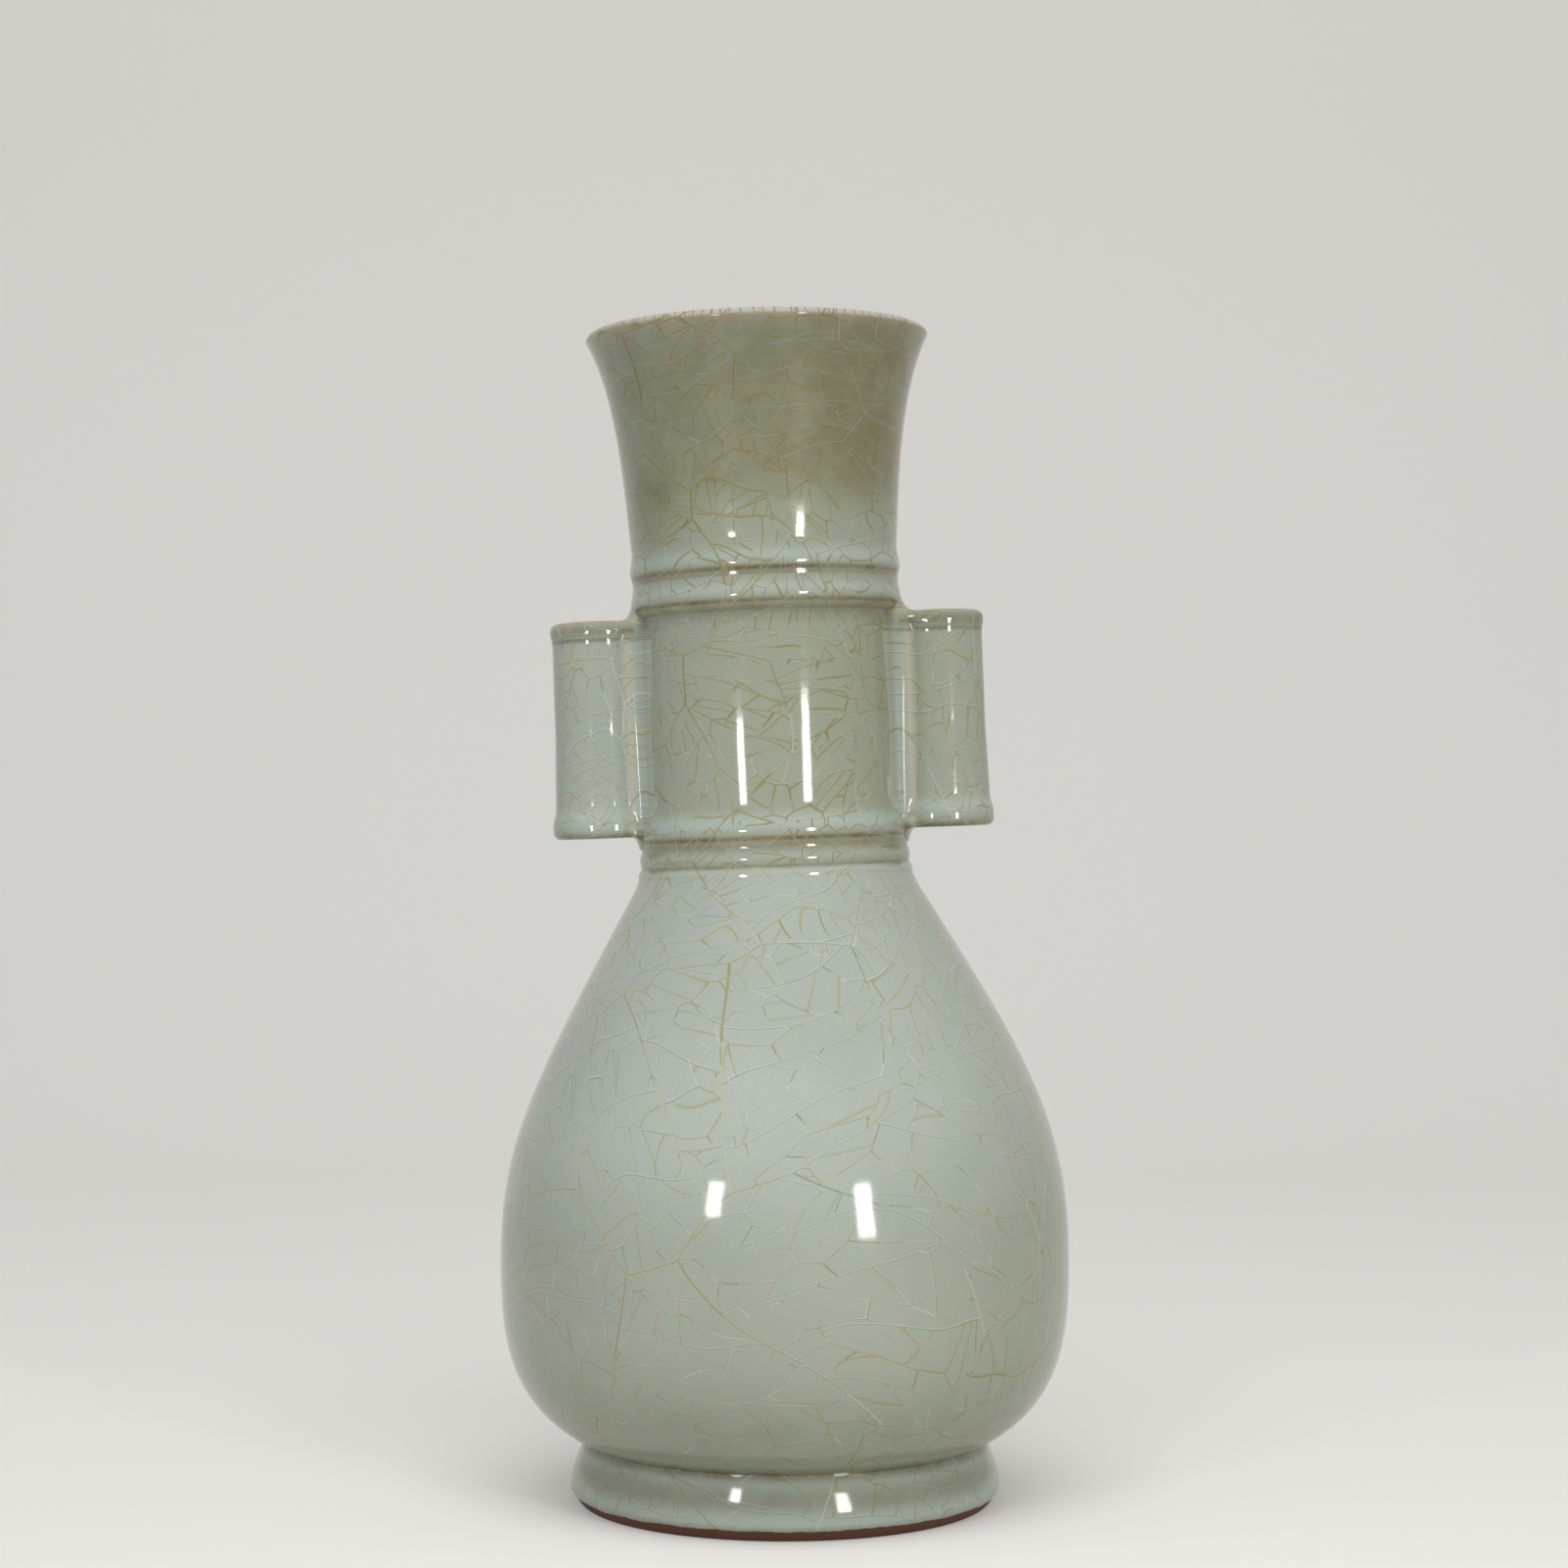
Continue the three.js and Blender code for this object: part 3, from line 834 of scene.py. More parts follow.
@dataclass
class Handle(Piece):
    """A pierced tube luted to the neck, with slip worked into its corners.

    Bands and the bore's rounding are swellings and distances from an end of the tube. A slip's two
    sizes are how far it runs along the neck and out over the tube's end. The slip's line is seen from
    above, in front of the tube: a ridge on the neck, a channel, and a ridge on the tube. All are in
    millimetres.
    """

    side: Side = Side.RIGHT
    warm: float = 0.7
    pattern_start: float = 1600.0
    tube_radius: float = 13.4
    tube_reach: float = 13.3
    tube_wall: float = 5.4
    length: float = 65.2
    rise: float = 2.8
    tilt: float = math.radians(1.6)
    edge_round: float = 2.2
    bore_round: tuple[tuple[float, float], ...] = ((0.0, 1.4), (0.4, 0.4), (1.4, 0.0))
    top_band: tuple[tuple[float, float], ...] = ((0.6, 2.2), (0.6, 2.7), (0.0, 7.0))
    low_band: tuple[tuple[float, float], ...] = ((1.6, 3.1), (1.6, 4.5), (0.6, 9.2), (0.6, 10.3))
    taper: float = 31.0
    top_slip: tuple[float, float] = (6.5, 6.6)
    low_slip: tuple[float, float] = (4.2, 2.6)
    slip_line: tuple[tuple[float, float], ...] = (
        (34.3, -16.7),
        (35.2, -15.8),
        (36.1, -14.7),
        (37.2, -12.9),
        (39.2, -11.0),
        (41.0, -10.7),
        (42.1, -10.9),
        (43.1, -10.7),
        (44.4, -10.9),
    )
    slip_turn: float = math.radians(58)
    slip_root: float = 1.8
    clay_root: float = 0.6
    end_root: float = 3.0
    end_narrow: float = 1.5
    slip_fade: float = 3.5
    channel: tuple[float, float] = (39.0, 11.6)
    ridge: tuple[float, float] = (41.8, 10.8)
    voxel: float = 0.42
    softenings: int = 9
    held_from: float = 0.2
    grain: float = 1.6

    @property
    def offset(self) -> float:
        """Distance from the neck's axis to the tube's."""
        return FORM.neck_radius + self.tube_reach

    @property
    def bore(self) -> float:
        """Radius of the hole down the tube."""
        return self.tube_radius - self.tube_wall

    @property
    def bottom(self) -> float:
        """Height of the tube's lower end."""
        return FORM.lower_groove + self.rise

    @property
    def top(self) -> float:
        """Height of the tube's upper end."""
        return self.bottom + self.length

    def tube_end(self, band: Sequence[tuple[float, float]]) -> list[tuple[float, float]]:
        """Gives one end of the tube's profile, from inside the bore to the plain wall.

        Args:
            band: Swelling and distance from the end of each place between which it changes softly.

        Returns:
            Radius and distance from the end of each point.
        """
        banded = self.tube_radius + band[0][0]
        bore = [(self.bore + out, height) for out, height in self.bore_round]
        corner = []
        for i in range(8):
            angle = math.pi / 2 * i / 7
            reach = self.edge_round * math.sin(angle)
            corner.append((banded - self.edge_round + reach, self.edge_round * (1 - math.cos(angle))))
        flare = soft_steps([(self.tube_radius + swell, height) for swell, height in band], 0.5)
        return [*bore, *corner, *[(p.x, p.y) for p in flare]]

    def tube(self, bm: bmesh.types.BMesh) -> None:
        """Adds the tube with its bore and its thickened ends.

        Args:
            bm: The mesh to add it to.
        """
        low = [*self.tube_end(self.low_band), (self.tube_radius, self.taper)]
        high = self.tube_end(self.top_band)
        profile = [(r, self.bottom + z) for r, z in low] + [(r, self.top - z) for r, z in reversed(high)]
        verts = [bm.verts.new((r, 0.0, z)) for r, z in profile]
        edges = [bm.edges.new(pair) for pair in [*zip(verts, verts[1:]), (verts[-1], verts[0])]]
        bmesh.ops.spin(
            bm, geom=verts + edges, cent=(0, 0, 0), axis=(0, 0, 1), angle=math.tau,
            steps=96, use_merge=True,
        )
        bmesh.ops.translate(bm, vec=(self.offset, 0, 0), verts=list(bm.verts))

    def slip_outline(self) -> list[Vector]:
        """Gives the slip's outline from above, sunk at its ends into neck and tube.

        Returns:
            The outline, from the neck at the front round to the neck at the back.
        """
        places = [Vector(place) for place in self.slip_line]
        places = [places[0], *places, places[-1]]
        front = []
        for before, start, end, after in zip(places, places[1:], places[2:], places[3:]):
            knots = (start, start + (end - before) / 6, end - (after - start) / 6, end)
            front += curve_points(knots, 4)[:-1]
        inner = front[0].normalized() * (FORM.neck_radius - self.slip_root)
        middle = (self.tube_radius + self.bore) / 2
        behind = []
        for i in range(9):
            angle = math.pi + self.slip_turn * (1 - i / 8)
            behind.append(Vector((self.offset + middle * math.cos(angle), middle * math.sin(angle))))
        half = [inner, *front, *behind]
        return half + [Vector((p.x, -p.y)) for p in reversed(half[:-1])]

    def sunk(self, place: Vector, share: float) -> Vector:
        """Moves a point of the slip's outline down to the clay under it.

        Args:
            place: The point, from above.
            share: 0 for the clay, 1 for the full slip.

        Returns:
            The moved point.
        """
        axis = Vector((self.offset, 0.0))
        on_neck = place.normalized() * min(place.length, FORM.neck_radius - self.clay_root)
        from_axis = place - axis
        on_tube = axis + from_axis.normalized() * min(from_axis.length, self.tube_radius - self.clay_root)
        clay = on_neck if (place - on_neck).length < (place - on_tube).length else on_tube
        return clay.lerp(place, eased(share))

    def web(self, bm: bmesh.types.BMesh) -> None:
        """Adds the slip in the corners between tube and neck, faded towards both ends.

        Args:
            bm: The mesh to add it to.
        """
        outline = self.slip_outline()
        low = self.bottom + self.edge_round / 2
        high = self.top - self.edge_round / 2
        levels = [low + self.slip_fade * i / 5 for i in range(6)]
        levels += [high - self.slip_fade * (5 - i) / 5 for i in range(6)]
        verts = [bm.verts.new((p.x, p.y, low)) for p in (self.sunk(p, 0.0) for p in outline)]
        face = bm.faces.new(verts)
        for level in levels[1:]:
            raised = bmesh.ops.extrude_face_region(bm, geom=[face])["geom"]
            face = next(item for item in raised if isinstance(item, bmesh.types.BMFace))
            share = min(level - low, high - level) / self.slip_fade
            ring = sorted((v for v in raised if isinstance(v, bmesh.types.BMVert)), key=lambda v: v.index)
            ring = [min(ring, key=lambda v, old=old: (v.co - old.co).length) for old in verts]
            for vert, place in zip(ring, outline):
                moved = self.sunk(place, share)
                vert.co = (moved.x, moved.y, level)
            verts = ring

    def root_slip(self, bm: bmesh.types.BMesh, level: float, up: float, slip: tuple[float, float]) -> None:
        """Adds the slip that runs along the neck past one end of the tube.

        Args:
            bm: The mesh to add it to.
            level: Height of the tube's end.
            up: 1 over the upper end, -1 under the lower one.
            slip: How far it runs along the neck, and out over the tube's end.
        """
        reach, spread = slip
        inner = FORM.neck_radius - self.slip_root
        foot = Vector((FORM.band_radius, level))
        curve = curve_points((
            foot + Vector((-0.1, up * reach)),
            foot + Vector((0.15, up * reach * 0.35)),
            foot + Vector((spread * 0.35, 0.0)),
            foot + Vector((spread, -up * 0.3)),
        ), 10)
        points = [Vector((inner, level + up * reach)), *curve]
        sunk = level - up * self.end_root
        points += [Vector((foot.x + spread, sunk)), Vector((inner, sunk))]
        turn = math.asin((self.tube_radius - self.end_narrow) / (foot.x + 2))
        verts = [bm.verts.new((p.x, 0.0, p.y)) for p in points]
        face = bm.faces.new(verts)
        bmesh.ops.rotate(bm, verts=verts, cent=(0, 0, 0), matrix=Matrix.Rotation(-turn, 3, "Z"))
        bmesh.ops.spin(
            bm, geom=[face, *verts], cent=(0, 0, 0), axis=(0, 0, 1), angle=2 * turn, steps=20,
        )
        for vert in bm.verts:
            beyond = up * (vert.co.z - level)
            if beyond > 0:
                share = math.atan2(vert.co.y, vert.co.x) / turn
                vert.co.z = level + up * beyond * max(0.0, 1 - share * share) ** 0.5

    def one_skin(self) -> bpy.types.Object:
        """Joins tube and slip into one skin by remeshing them together.

        Returns:
            The straight right-hand handle, in metres.
        """
        parts = bmesh.new()
        for shape in (
            self.tube,
            self.web,
            lambda bm: self.root_slip(bm, self.top, 1.0, self.top_slip),
            lambda bm: self.root_slip(bm, self.bottom, -1.0, self.low_slip),
        ):
            one = bmesh.new()
            shape(one)
            bmesh.ops.remove_doubles(one, verts=one.verts, dist=0.001)
            bmesh.ops.recalc_face_normals(one, faces=one.faces)
            passing = bpy.data.meshes.new("passing")
            one.to_mesh(passing)
            one.free()
            parts.from_mesh(passing)
            bpy.data.meshes.remove(passing)
        joined = new_object(f"{self.name}_joined", parts)
        remesh = joined.modifiers.new("one_skin", "REMESH")
        remesh.mode = "VOXEL"
        remesh.voxel_size = self.voxel * MM
        depsgraph = bpy.context.evaluated_depsgraph_get()
        skin = bpy.data.meshes.new_from_object(joined.evaluated_get(depsgraph))
        bpy.data.objects.remove(joined)
        made = bpy.data.objects.new(self.name, skin)
        bpy.context.scene.collection.objects.link(made)
        return made

    def marks(self, x: float, y: float, z: float) -> Marks:
        """How the glaze lies on the handle.

        Args:
            x: Millimetres out from the neck's axis.
            y: Millimetres to the back.
            z: Height in millimetres.

        Returns:
            Shares of thin glaze, of stain, of warm tone and of pooled glaze.
        """
        from_top = self.top - z
        from_low = z - self.bottom
        within = eased((from_low + 1) / 3) * eased((from_top + 1) / 3)
        channel = near(x, self.channel[0], 2.6) * near(abs(y), self.channel[1], 3.4) * within
        ridge = near(x, self.ridge[0], 0.9) * near(abs(y), self.ridge[1], 1.4) * within
        thin = max(0.85 * near(from_top, 0.3, 1.6), 0.8 * ridge, 0.45 * near(from_low, 0.2, 1.0))
        stain_and_shade = max(
            0.55 * near(from_top, 3.0, 2.6),
            0.7 * near(from_top, 5.8, 0.7),
            0.8 * near(from_low, 0.2, 1.6),
        )
        pool = max(0.55 * channel, 0.6 * near(from_low, 6.5, 2.6))
        return thin, stain_and_shade, self.warm, pool

    def lay_pattern(self, bm: bmesh.types.BMesh) -> None:
        """Wraps the glaze's pattern around the tube, in millimetres.

        Args:
            bm: The straight handle.
        """
        pattern = bm.loops.layers.uv.new(PATTERN)
        begin = Vector((self.pattern_start, 0.0))
        for face in bm.faces:
            if abs(face.normal.z) > 0.75:
                for loop in face.loops:
                    loop[pattern].uv = begin + loop.vert.co.xy * self.grain
                continue
            turns = [math.atan2(loop.vert.co.y, loop.vert.co.x - self.offset) for loop in face.loops]
            if max(turns) - min(turns) > math.pi:
                turns = [turn + math.tau if turn < 0 else turn for turn in turns]
            for loop, turn in zip(face.loops, turns):
                loop[pattern].uv = begin + Vector((turn * self.tube_radius, loop.vert.co.z)) * self.grain

    def build(self) -> bpy.types.Object:
        """Finishes the handle and hands it to the frame.

        Returns:
            The finished piece, without a material.
        """
        made = self.one_skin()
        bm = bmesh.new()
        bm.from_mesh(made.data)
        bmesh.ops.scale(bm, vec=(1 / MM, 1 / MM, 1 / MM), verts=bm.verts)
        held = FORM.neck_radius + self.held_from
        free = [v for v in bm.verts if math.hypot(v.co.x, v.co.y) > held]
        for _ in range(self.softenings):
            bmesh.ops.smooth_vert(
                bm, verts=free, factor=0.5, use_axis_x=True, use_axis_y=True, use_axis_z=True,
            )
        bmesh.ops.recalc_face_normals(bm, faces=bm.faces)
        self.lay_pattern(bm)
        layers = [bm.verts.layers.float.new(mark) for mark in MARKS]
        middle = (self.bottom + self.top) / 2
        for vert in bm.verts:
            x, y, z = vert.co
            for layer, value in zip(layers, (*self.marks(x, y, z), 0.0, self.grain)):
                vert[layer] = value
            turned = Vector((x * self.side.value, y * self.side.value, z))
            backwards = (z - middle) * math.tan(self.tilt) * eased((x - FORM.neck_radius) / 4)
            vert.co = FORM.leaned(turned.x, turned.y + backwards, z) + wobble(turned)
        for face in bm.faces:
            face.smooth = True
        bmesh.ops.scale(bm, vec=(MM, MM, MM), verts=bm.verts)
        bm.to_mesh(made.data)
        bm.free()
        self.hand_over(made)
        return made


def linear(colour: str) -> tuple[float, float, float, float]:
    """Turns an sRGB hex value to linear light.

    Args:
        colour: Six hex digits.

    Returns:
        Red, green, blue and an alpha of 1.
    """
    channels = []
    for i in (0, 2, 4):
        value = int(colour[i : i + 2], 16) / 255
        channels.append(value / 12.92 if value <= 0.04045 else ((value + 0.055) / 1.055) ** 2.4)
    return (*channels, 1.0)


def add(tree: Tree, kind: str, settings: dict | None = None, links: dict | None = None) -> Socket | None:
    """Adds a node with its settings and links.

    Args:
        tree: The material's or world's node tree.
        kind: The node's type.
        settings: Properties by name, and input values by name or number.
        links: Output sockets by the name or number of the input that they feed.

    Returns:
        The node's first enabled output, or None where it has none.
    """
    node = tree.nodes.new(kind)
    for key, value in (settings or {}).items():
        if isinstance(key, str) and hasattr(node, key):
            setattr(node, key, value)
        else:
            node.inputs[key].default_value = value
    for key, source in (links or {}).items():
        tree.links.new(source, node.inputs[key])
    return next((socket for socket in node.outputs if socket.enabled), None)


@dataclass(frozen=True)
class Lie:
    """Sockets that say where a point of the glaze is and how the glaze lies there.

    The place is the point on the piece, and flat the point on the wrapped pattern, both in
    millimetres. The grain is how much larger the pattern is drawn there than it is.
    """

    place: Socket
    flat: Socket
    thin: Socket
    stain_and_shade: Socket
    warm: Socket
    pool: Socket
    dull: Socket
    grain: Socket


@dataclass(frozen=True)
class Mottle:
    """Soft patches, by their size in millimetres, their detail and the noise between which they set in."""

    size: float
    detail: float
    low: float
    high: float
    least: float = 0.0

    def build(self, tree: Tree, place: Socket) -> Socket:
        """Adds the patches.

        Args:
            tree: The material's node tree.
            place: A point in millimetres.

        Returns:
            A share from the least outside the patches to 1 in them.
        """
        noises = {"Scale": 1 / self.size, "Detail": self.detail}
        limits = {"From Min": self.low, "From Max": self.high, "To Min": self.least}
        grey = add(tree, "ShaderNodeTexNoise", noises, {"Vector": place})
        return add(tree, "ShaderNodeMapRange", {**SOFT, **limits}, {"Value": grey})


class Cut(Enum):
    """How an age of cracks divides the glaze: into cells, across the pot or upright."""

    CELLS = "2D"
    ACROSS = "Y"
    UPRIGHT = "X"


@dataclass(frozen=True)
class Cracks:
    """One age of cracks. Spacing, sway and width are in millimetres, and the turn is in radians.

    The sway is how far the cracks bend, and the turn how far each older cell turns its own cracks.
    Relief is how clearly a crack shows as an edge, painted as shade on one side and as a highlight on the
    other, and gold how clearly it shows as a line of rubbed-in colour.
    """

    cut: Cut
    spacing: float
    sway: float
    turn: float
    width: float
    relief: float
    gold: float

    def divide(self, tree: Tree, place: Socket) -> tuple[Socket, Socket, Socket, Socket]:
        """Divides the glaze along the cracks.

        Args:
            tree: The material's node tree.
            place: Pattern coordinates in millimetres.

        Returns:
            The distance to the nearest crack as drawn, whether a place lies over or right of its
            cell's middle, the cells' own colours, and the coordinates with their sway.
        """
        # The cracks bend in waves somewhat longer than their spacing
        wave = {"noise_dimensions": "2D", "Scale": 1 / (4 + 1.6 * self.spacing), "Detail": 0.0}
        sway = add(tree, "ShaderNodeTexNoise", wave, {"Vector": place}).node.outputs["Color"]
        even = add(tree, "ShaderNodeVectorMath", {"operation": "SUBTRACT", 1: (0.5, 0.5, 0.5)}, {0: sway})
        push = add(tree, "ShaderNodeVectorMath", {"operation": "SCALE", "Scale": 4 * self.sway}, {0: even})
        bent = add(tree, "ShaderNodeVectorMath", {"operation": "ADD"}, {0: place, 1: push})
        parts = add(tree, "ShaderNodeSeparateXYZ", None, {0: bent}).node.outputs
        plan = {"Scale": 1 / self.spacing, "Randomness": 0.9}
        if self.cut is Cut.CELLS:
            along = parts["Y"]
            plan["voronoi_dimensions"] = "2D"
            feed = {"Vector": bent}
        else:
            along = parts[self.cut.value]
            plan["voronoi_dimensions"] = "1D"
            feed = {"W": along}
        edge = add(tree, "ShaderNodeTexVoronoi", {**plan, "feature": "DISTANCE_TO_EDGE"}, feed)
        cells = add(tree, "ShaderNodeTexVoronoi", {**plan, "feature": "F1"}, feed).node.outputs
        if self.cut is Cut.CELLS:
            centre = add(tree, "ShaderNodeSeparateXYZ", None, {0: cells["Position"]}).node.outputs["Y"]
        else:
            centre = cells["W"]
        away = add(tree, "ShaderNodeMath", {"operation": "MULTIPLY", 1: self.spacing}, {0: edge})
        beyond = add(tree, "ShaderNodeMath", {"operation": "GREATER_THAN"}, {0: along, 1: centre})
        return away, beyond, cells["Color"], bent

    def line(self, tree: Tree, away: Socket, grain: Socket, times: float = 1.0) -> Socket:
        """Draws soft lines where the nearest crack is close.

        Args:
            tree: The material's node tree.
            away: Distance to the nearest crack as drawn.
            grain: How much larger the pattern is drawn here than it is.
            times: How many times the cracks' own width the lines have.

        Returns:
            1 on a crack and 0 away from it.
        """
        width = times * self.width
        real = add(tree, "ShaderNodeMath", {"operation": "DIVIDE"}, {0: away, 1: grain})
        limits = {"From Min": 0.3 * width, "From Max": 1.4 * width, "To Min": 1.0, "To Max": 0.0}
        return add(tree, "ShaderNodeMapRange", {**SOFT, **limits}, {"Value": real})


@dataclass(frozen=True)
class CrackleGlaze:
    """Thick celadon glaze on stoneware, crazed as it cooled, the cracks rubbed with ochre.

    It gives the eye a soft wet gloss over a misty grey-green depth, with long pale cracks between
    which younger ones end, the youngest of them gold. Each crack's edge is painted as shade on one side and
    as a highlight on the other. Sizes are in millimetres.
    """

    name: str = "celadon_crackle"
    body: str = "A5AFA5"
    misty: str = "B2BBB1"
    shade: str = "7F8B80"
    warm: str = "8D8F74"
    pooled: str = "AAB9B0"
    thin: str = "BDB199"
    # The colour of staining, also laid as painted shade in grooves, under the bands and over the foot
    stain_and_shade: str = "5C5233"
    ochre: str = "9E9455"
    amber: str = "6A5812"
    # The colours of the lip and of the cracks' painted highlight, then of the cracks' painted shade
    pale: str = "C9CEC4"
    painted_shade: str = "757D6B"
    bare: str = "5A3524"
    clouds: Mottle = Mottle(60.0, 3.0, 0.35, 0.7)
    # Real bubbles are some tenths of a millimetre across, and are drawn coarser so that they show
    bubbles: Mottle = Mottle(0.6, 2.0, 0.5, 0.75)
    blotches: Mottle = Mottle(9.0, 4.0, 0.38, 0.62)
    rubbing: Mottle = Mottle(30.0, 1.0, 0.38, 0.62)
    wear: Mottle = Mottle(12.0, 2.0, 0.34, 0.6, 0.6)
    ages: tuple[Cracks, ...] = (
        Cracks(Cut.CELLS, 50.0, 8.0, 0.0, 0.25, 0.9, 0.0),
        Cracks(Cut.ACROSS, 16.0, 2.4, 0.5, 0.25, 0.9, 0.3),
        Cracks(Cut.CELLS, 13.0, 1.6, 1.4, 0.21, 0.8, 0.65),
        Cracks(Cut.ACROSS, 8.5, 0.9, 1.5, 0.18, 0.5, 0.85),
    )
    crazing: Cracks = Cracks(Cut.UPRIGHT, 4.2, 0.8, 0.0, 0.2, 0.0, 1.0)
    cells_apart: float = 640.0
    rubbed_least: float = 0.3
    rubbed_patchy: float = 0.4
    rubbed_warm: float = 0.2
    soaked_width: float = 1.2
    soaked_warm: float = 0.1
    halo_reach: float = 1.3
    gloss_roughness: float = 0.085
    dull_roughness: float = 0.35
    swell_size: float = 8.0
    swell_depth: float = 0.35
    scatter: float = 1.2
    footed: bool = False
    bare_line: float = 3.3
    ragged_size: float = 6.0
    ragged_depth: float = 1.4

    def lie(self, tree: Tree) -> Lie:
        """Adds the nodes that read a point's place and marks.

        Args:
            tree: The material's node tree.

        Returns:
            Their sockets.
        """
        marks = []
        for mark in MARKS:
            marks.append(add(tree, "ShaderNodeAttribute", {"attribute_name": mark}).node.outputs["Fac"])
        coords = add(tree, "ShaderNodeTexCoord").node.outputs["Object"]
        place = add(tree, "ShaderNodeVectorMath", {"operation": "SCALE", "Scale": 1 / MM}, {0: coords})
        flat = add(tree, "ShaderNodeUVMap", {"uv_map": PATTERN})
        return Lie(place, flat, *marks)

    def crackle(self, tree: Tree, lie: Lie, deep: Socket, lip: Socket) -> tuple[Socket, ...]:
        """Adds the net of cracks.

        Args:
            tree: The material's node tree.
            lie: Where a point is and how the glaze lies there.
            deep: How far the glaze is warm.
            lip: How far a point is on the lip.

        Returns:
            Shares of painted shade along the cracks, of painted highlight along them, of gold lines and of
            the gold's faint halo.
        """
        # Where the rubbed colour took, in broad patches and by single cracks, and wider in warm glaze
        patchy = {"operation": "MULTIPLY_ADD", 1: self.rubbed_patchy, 2: self.rubbed_least}
        took = add(tree, "ShaderNodeMath", patchy, {0: self.rubbing.build(tree, lie.place)})
        warmed = {"operation": "MULTIPLY_ADD", 1: self.rubbed_warm}
        took = add(tree, "ShaderNodeMath", warmed, {0: lie.warm, 2: took})
        took = add(tree, "ShaderNodeMath", {"operation": "MAXIMUM"}, {0: took, 1: lie.stain_and_shade})
        worn = self.wear.build(tree, lie.place)
        widened = {"operation": "MULTIPLY_ADD", 1: self.soaked_warm, 2: 1.0}
        wider = add(tree, "ShaderNodeMath", widened, {0: deep})
        soak = add(tree, "ShaderNodeMath", {"operation": "MULTIPLY"}, {0: wider, 1: lie.grain})

        # Each age of cracks divides the cells of the one before it, the first the whole glaze
        edges, glints, golds = [], [], []
        inner, older = lie.flat, lie.flat
        for cracks in self.ages:
            chance = add(tree, "ShaderNodeSeparateXYZ", None, {0: older})
            if cracks.turn:
                reach = {"operation": "MULTIPLY_ADD", 1: 2 * cracks.turn, 2: -cracks.turn}
                turned = {"Vector": inner, "Angle": add(tree, "ShaderNodeMath", reach, {0: chance})}
                inner = add(tree, "ShaderNodeVectorRotate", {"rotation_type": "Z_AXIS"}, turned)
                move = {"operation": "SCALE", "Scale": self.cells_apart}
                far = add(tree, "ShaderNodeVectorMath", move, {0: older})
                inner = add(tree, "ShaderNodeVectorMath", {"operation": "ADD"}, {0: inner, 1: far})
                chance = chance.node.outputs["Y"]
            share = add(tree, "ShaderNodeMath", {"operation": "MULTIPLY", 1: cracks.gold}, {0: took})
            ahead = add(tree, "ShaderNodeMath", {"operation": "SUBTRACT"}, {0: share, 1: chance})
            taken = add(tree, "ShaderNodeMapRange", {**SOFT, "From Max": 0.08}, {"Value": ahead})
            away, beyond, older, inner = cracks.divide(tree, inner)
            line = cracks.line(tree, away, lie.grain)
            if cracks is self.ages[-1]:
                line = add(tree, "ShaderNodeMath", {"operation": "MULTIPLY"}, {0: line, 1: taken})
            # Each crack is painted as shade on the side past its cell's middle and as a highlight on the
            # other side, standing in for its edge lit from above
            painted_relief = add(tree, "ShaderNodeMath", {"operation": "MULTIPLY", 1: cracks.relief}, {0: line})
            edges.append(add(tree, "ShaderNodeMath", {"operation": "MULTIPLY"}, {0: painted_relief, 1: beyond}))
            glints.append(add(tree, "ShaderNodeMath", {"operation": "SUBTRACT"}, {0: painted_relief, 1: edges[-1]}))
            rubbed = add(tree, "ShaderNodeMath", {"operation": "MULTIPLY"}, {0: taken, 1: worn})
            soaked = cracks.line(tree, away, soak, self.soaked_width)
            golds.append(add(tree, "ShaderNodeMath", {"operation": "MULTIPLY"}, {0: rubbed, 1: soaked}))

        # The halo beside the youngest gold, and the upright crazing of the lip and of the heaviest staining
        # and painted shade
        fade = {**SOFT, "From Max": self.halo_reach, "To Min": 1.0, "To Max": 0.0}
        halo = add(tree, "ShaderNodeMapRange", fade, {"Value": away})
        halo = add(tree, "ShaderNodeMath", {"operation": "MULTIPLY"}, {0: halo, 1: rubbed})
        ticks = self.crazing.line(tree, self.crazing.divide(tree, lie.flat)[0], lie.grain)
        limits = {**SOFT, "From Min": 0.25, "From Max": 0.9}
        dense = add(tree, "ShaderNodeMapRange", limits, {"Value": lie.stain_and_shade})
        dense = add(tree, "ShaderNodeMath", {"operation": "MAXIMUM"}, {0: dense, 1: lip})
        golds.append(add(tree, "ShaderNodeMath", {"operation": "MULTIPLY"}, {0: ticks, 1: dense}))
        most = {"operation": "MAXIMUM"}
        painted_crack_shade, pale, gold = [
            reduce(lambda one, other: add(tree, "ShaderNodeMath", most, {0: one, 1: other}), found)
            for found in (edges, glints, golds)
        ]
        return painted_crack_shade, pale, gold, halo

    def bare_edge(self, tree: Tree, place: Socket) -> Socket:
        """Adds the clay below the ragged line where the glaze was wiped from the foot.

        Args:
            tree: The material's node tree.
            place: A point in millimetres.

        Returns:
            1 on the clay and 0 on the glaze.
        """
        height = add(tree, "ShaderNodeSeparateXYZ", None, {0: place}).node.outputs["Z"]
        noises = {"Scale": 1 / self.ragged_size, "Detail": 2.0}
        ragged = add(tree, "ShaderNodeTexNoise", noises, {"Vector": place})
        shift = {"operation": "MULTIPLY_ADD", 1: self.ragged_depth, 2: -self.ragged_depth / 2}
        uneven = add(tree, "ShaderNodeMath", shift, {0: ragged})
        level = add(tree, "ShaderNodeMath", {"operation": "ADD"}, {0: height, 1: uneven})
        above = add(tree, "ShaderNodeMath", {"operation": "SUBTRACT", 1: self.bare_line}, {0: level})
        limits = {"From Min": -0.25, "From Max": 0.25, "To Min": 1.0, "To Max": 0.0}
        return add(tree, "ShaderNodeMapRange", {**SOFT, **limits}, {"Value": above})

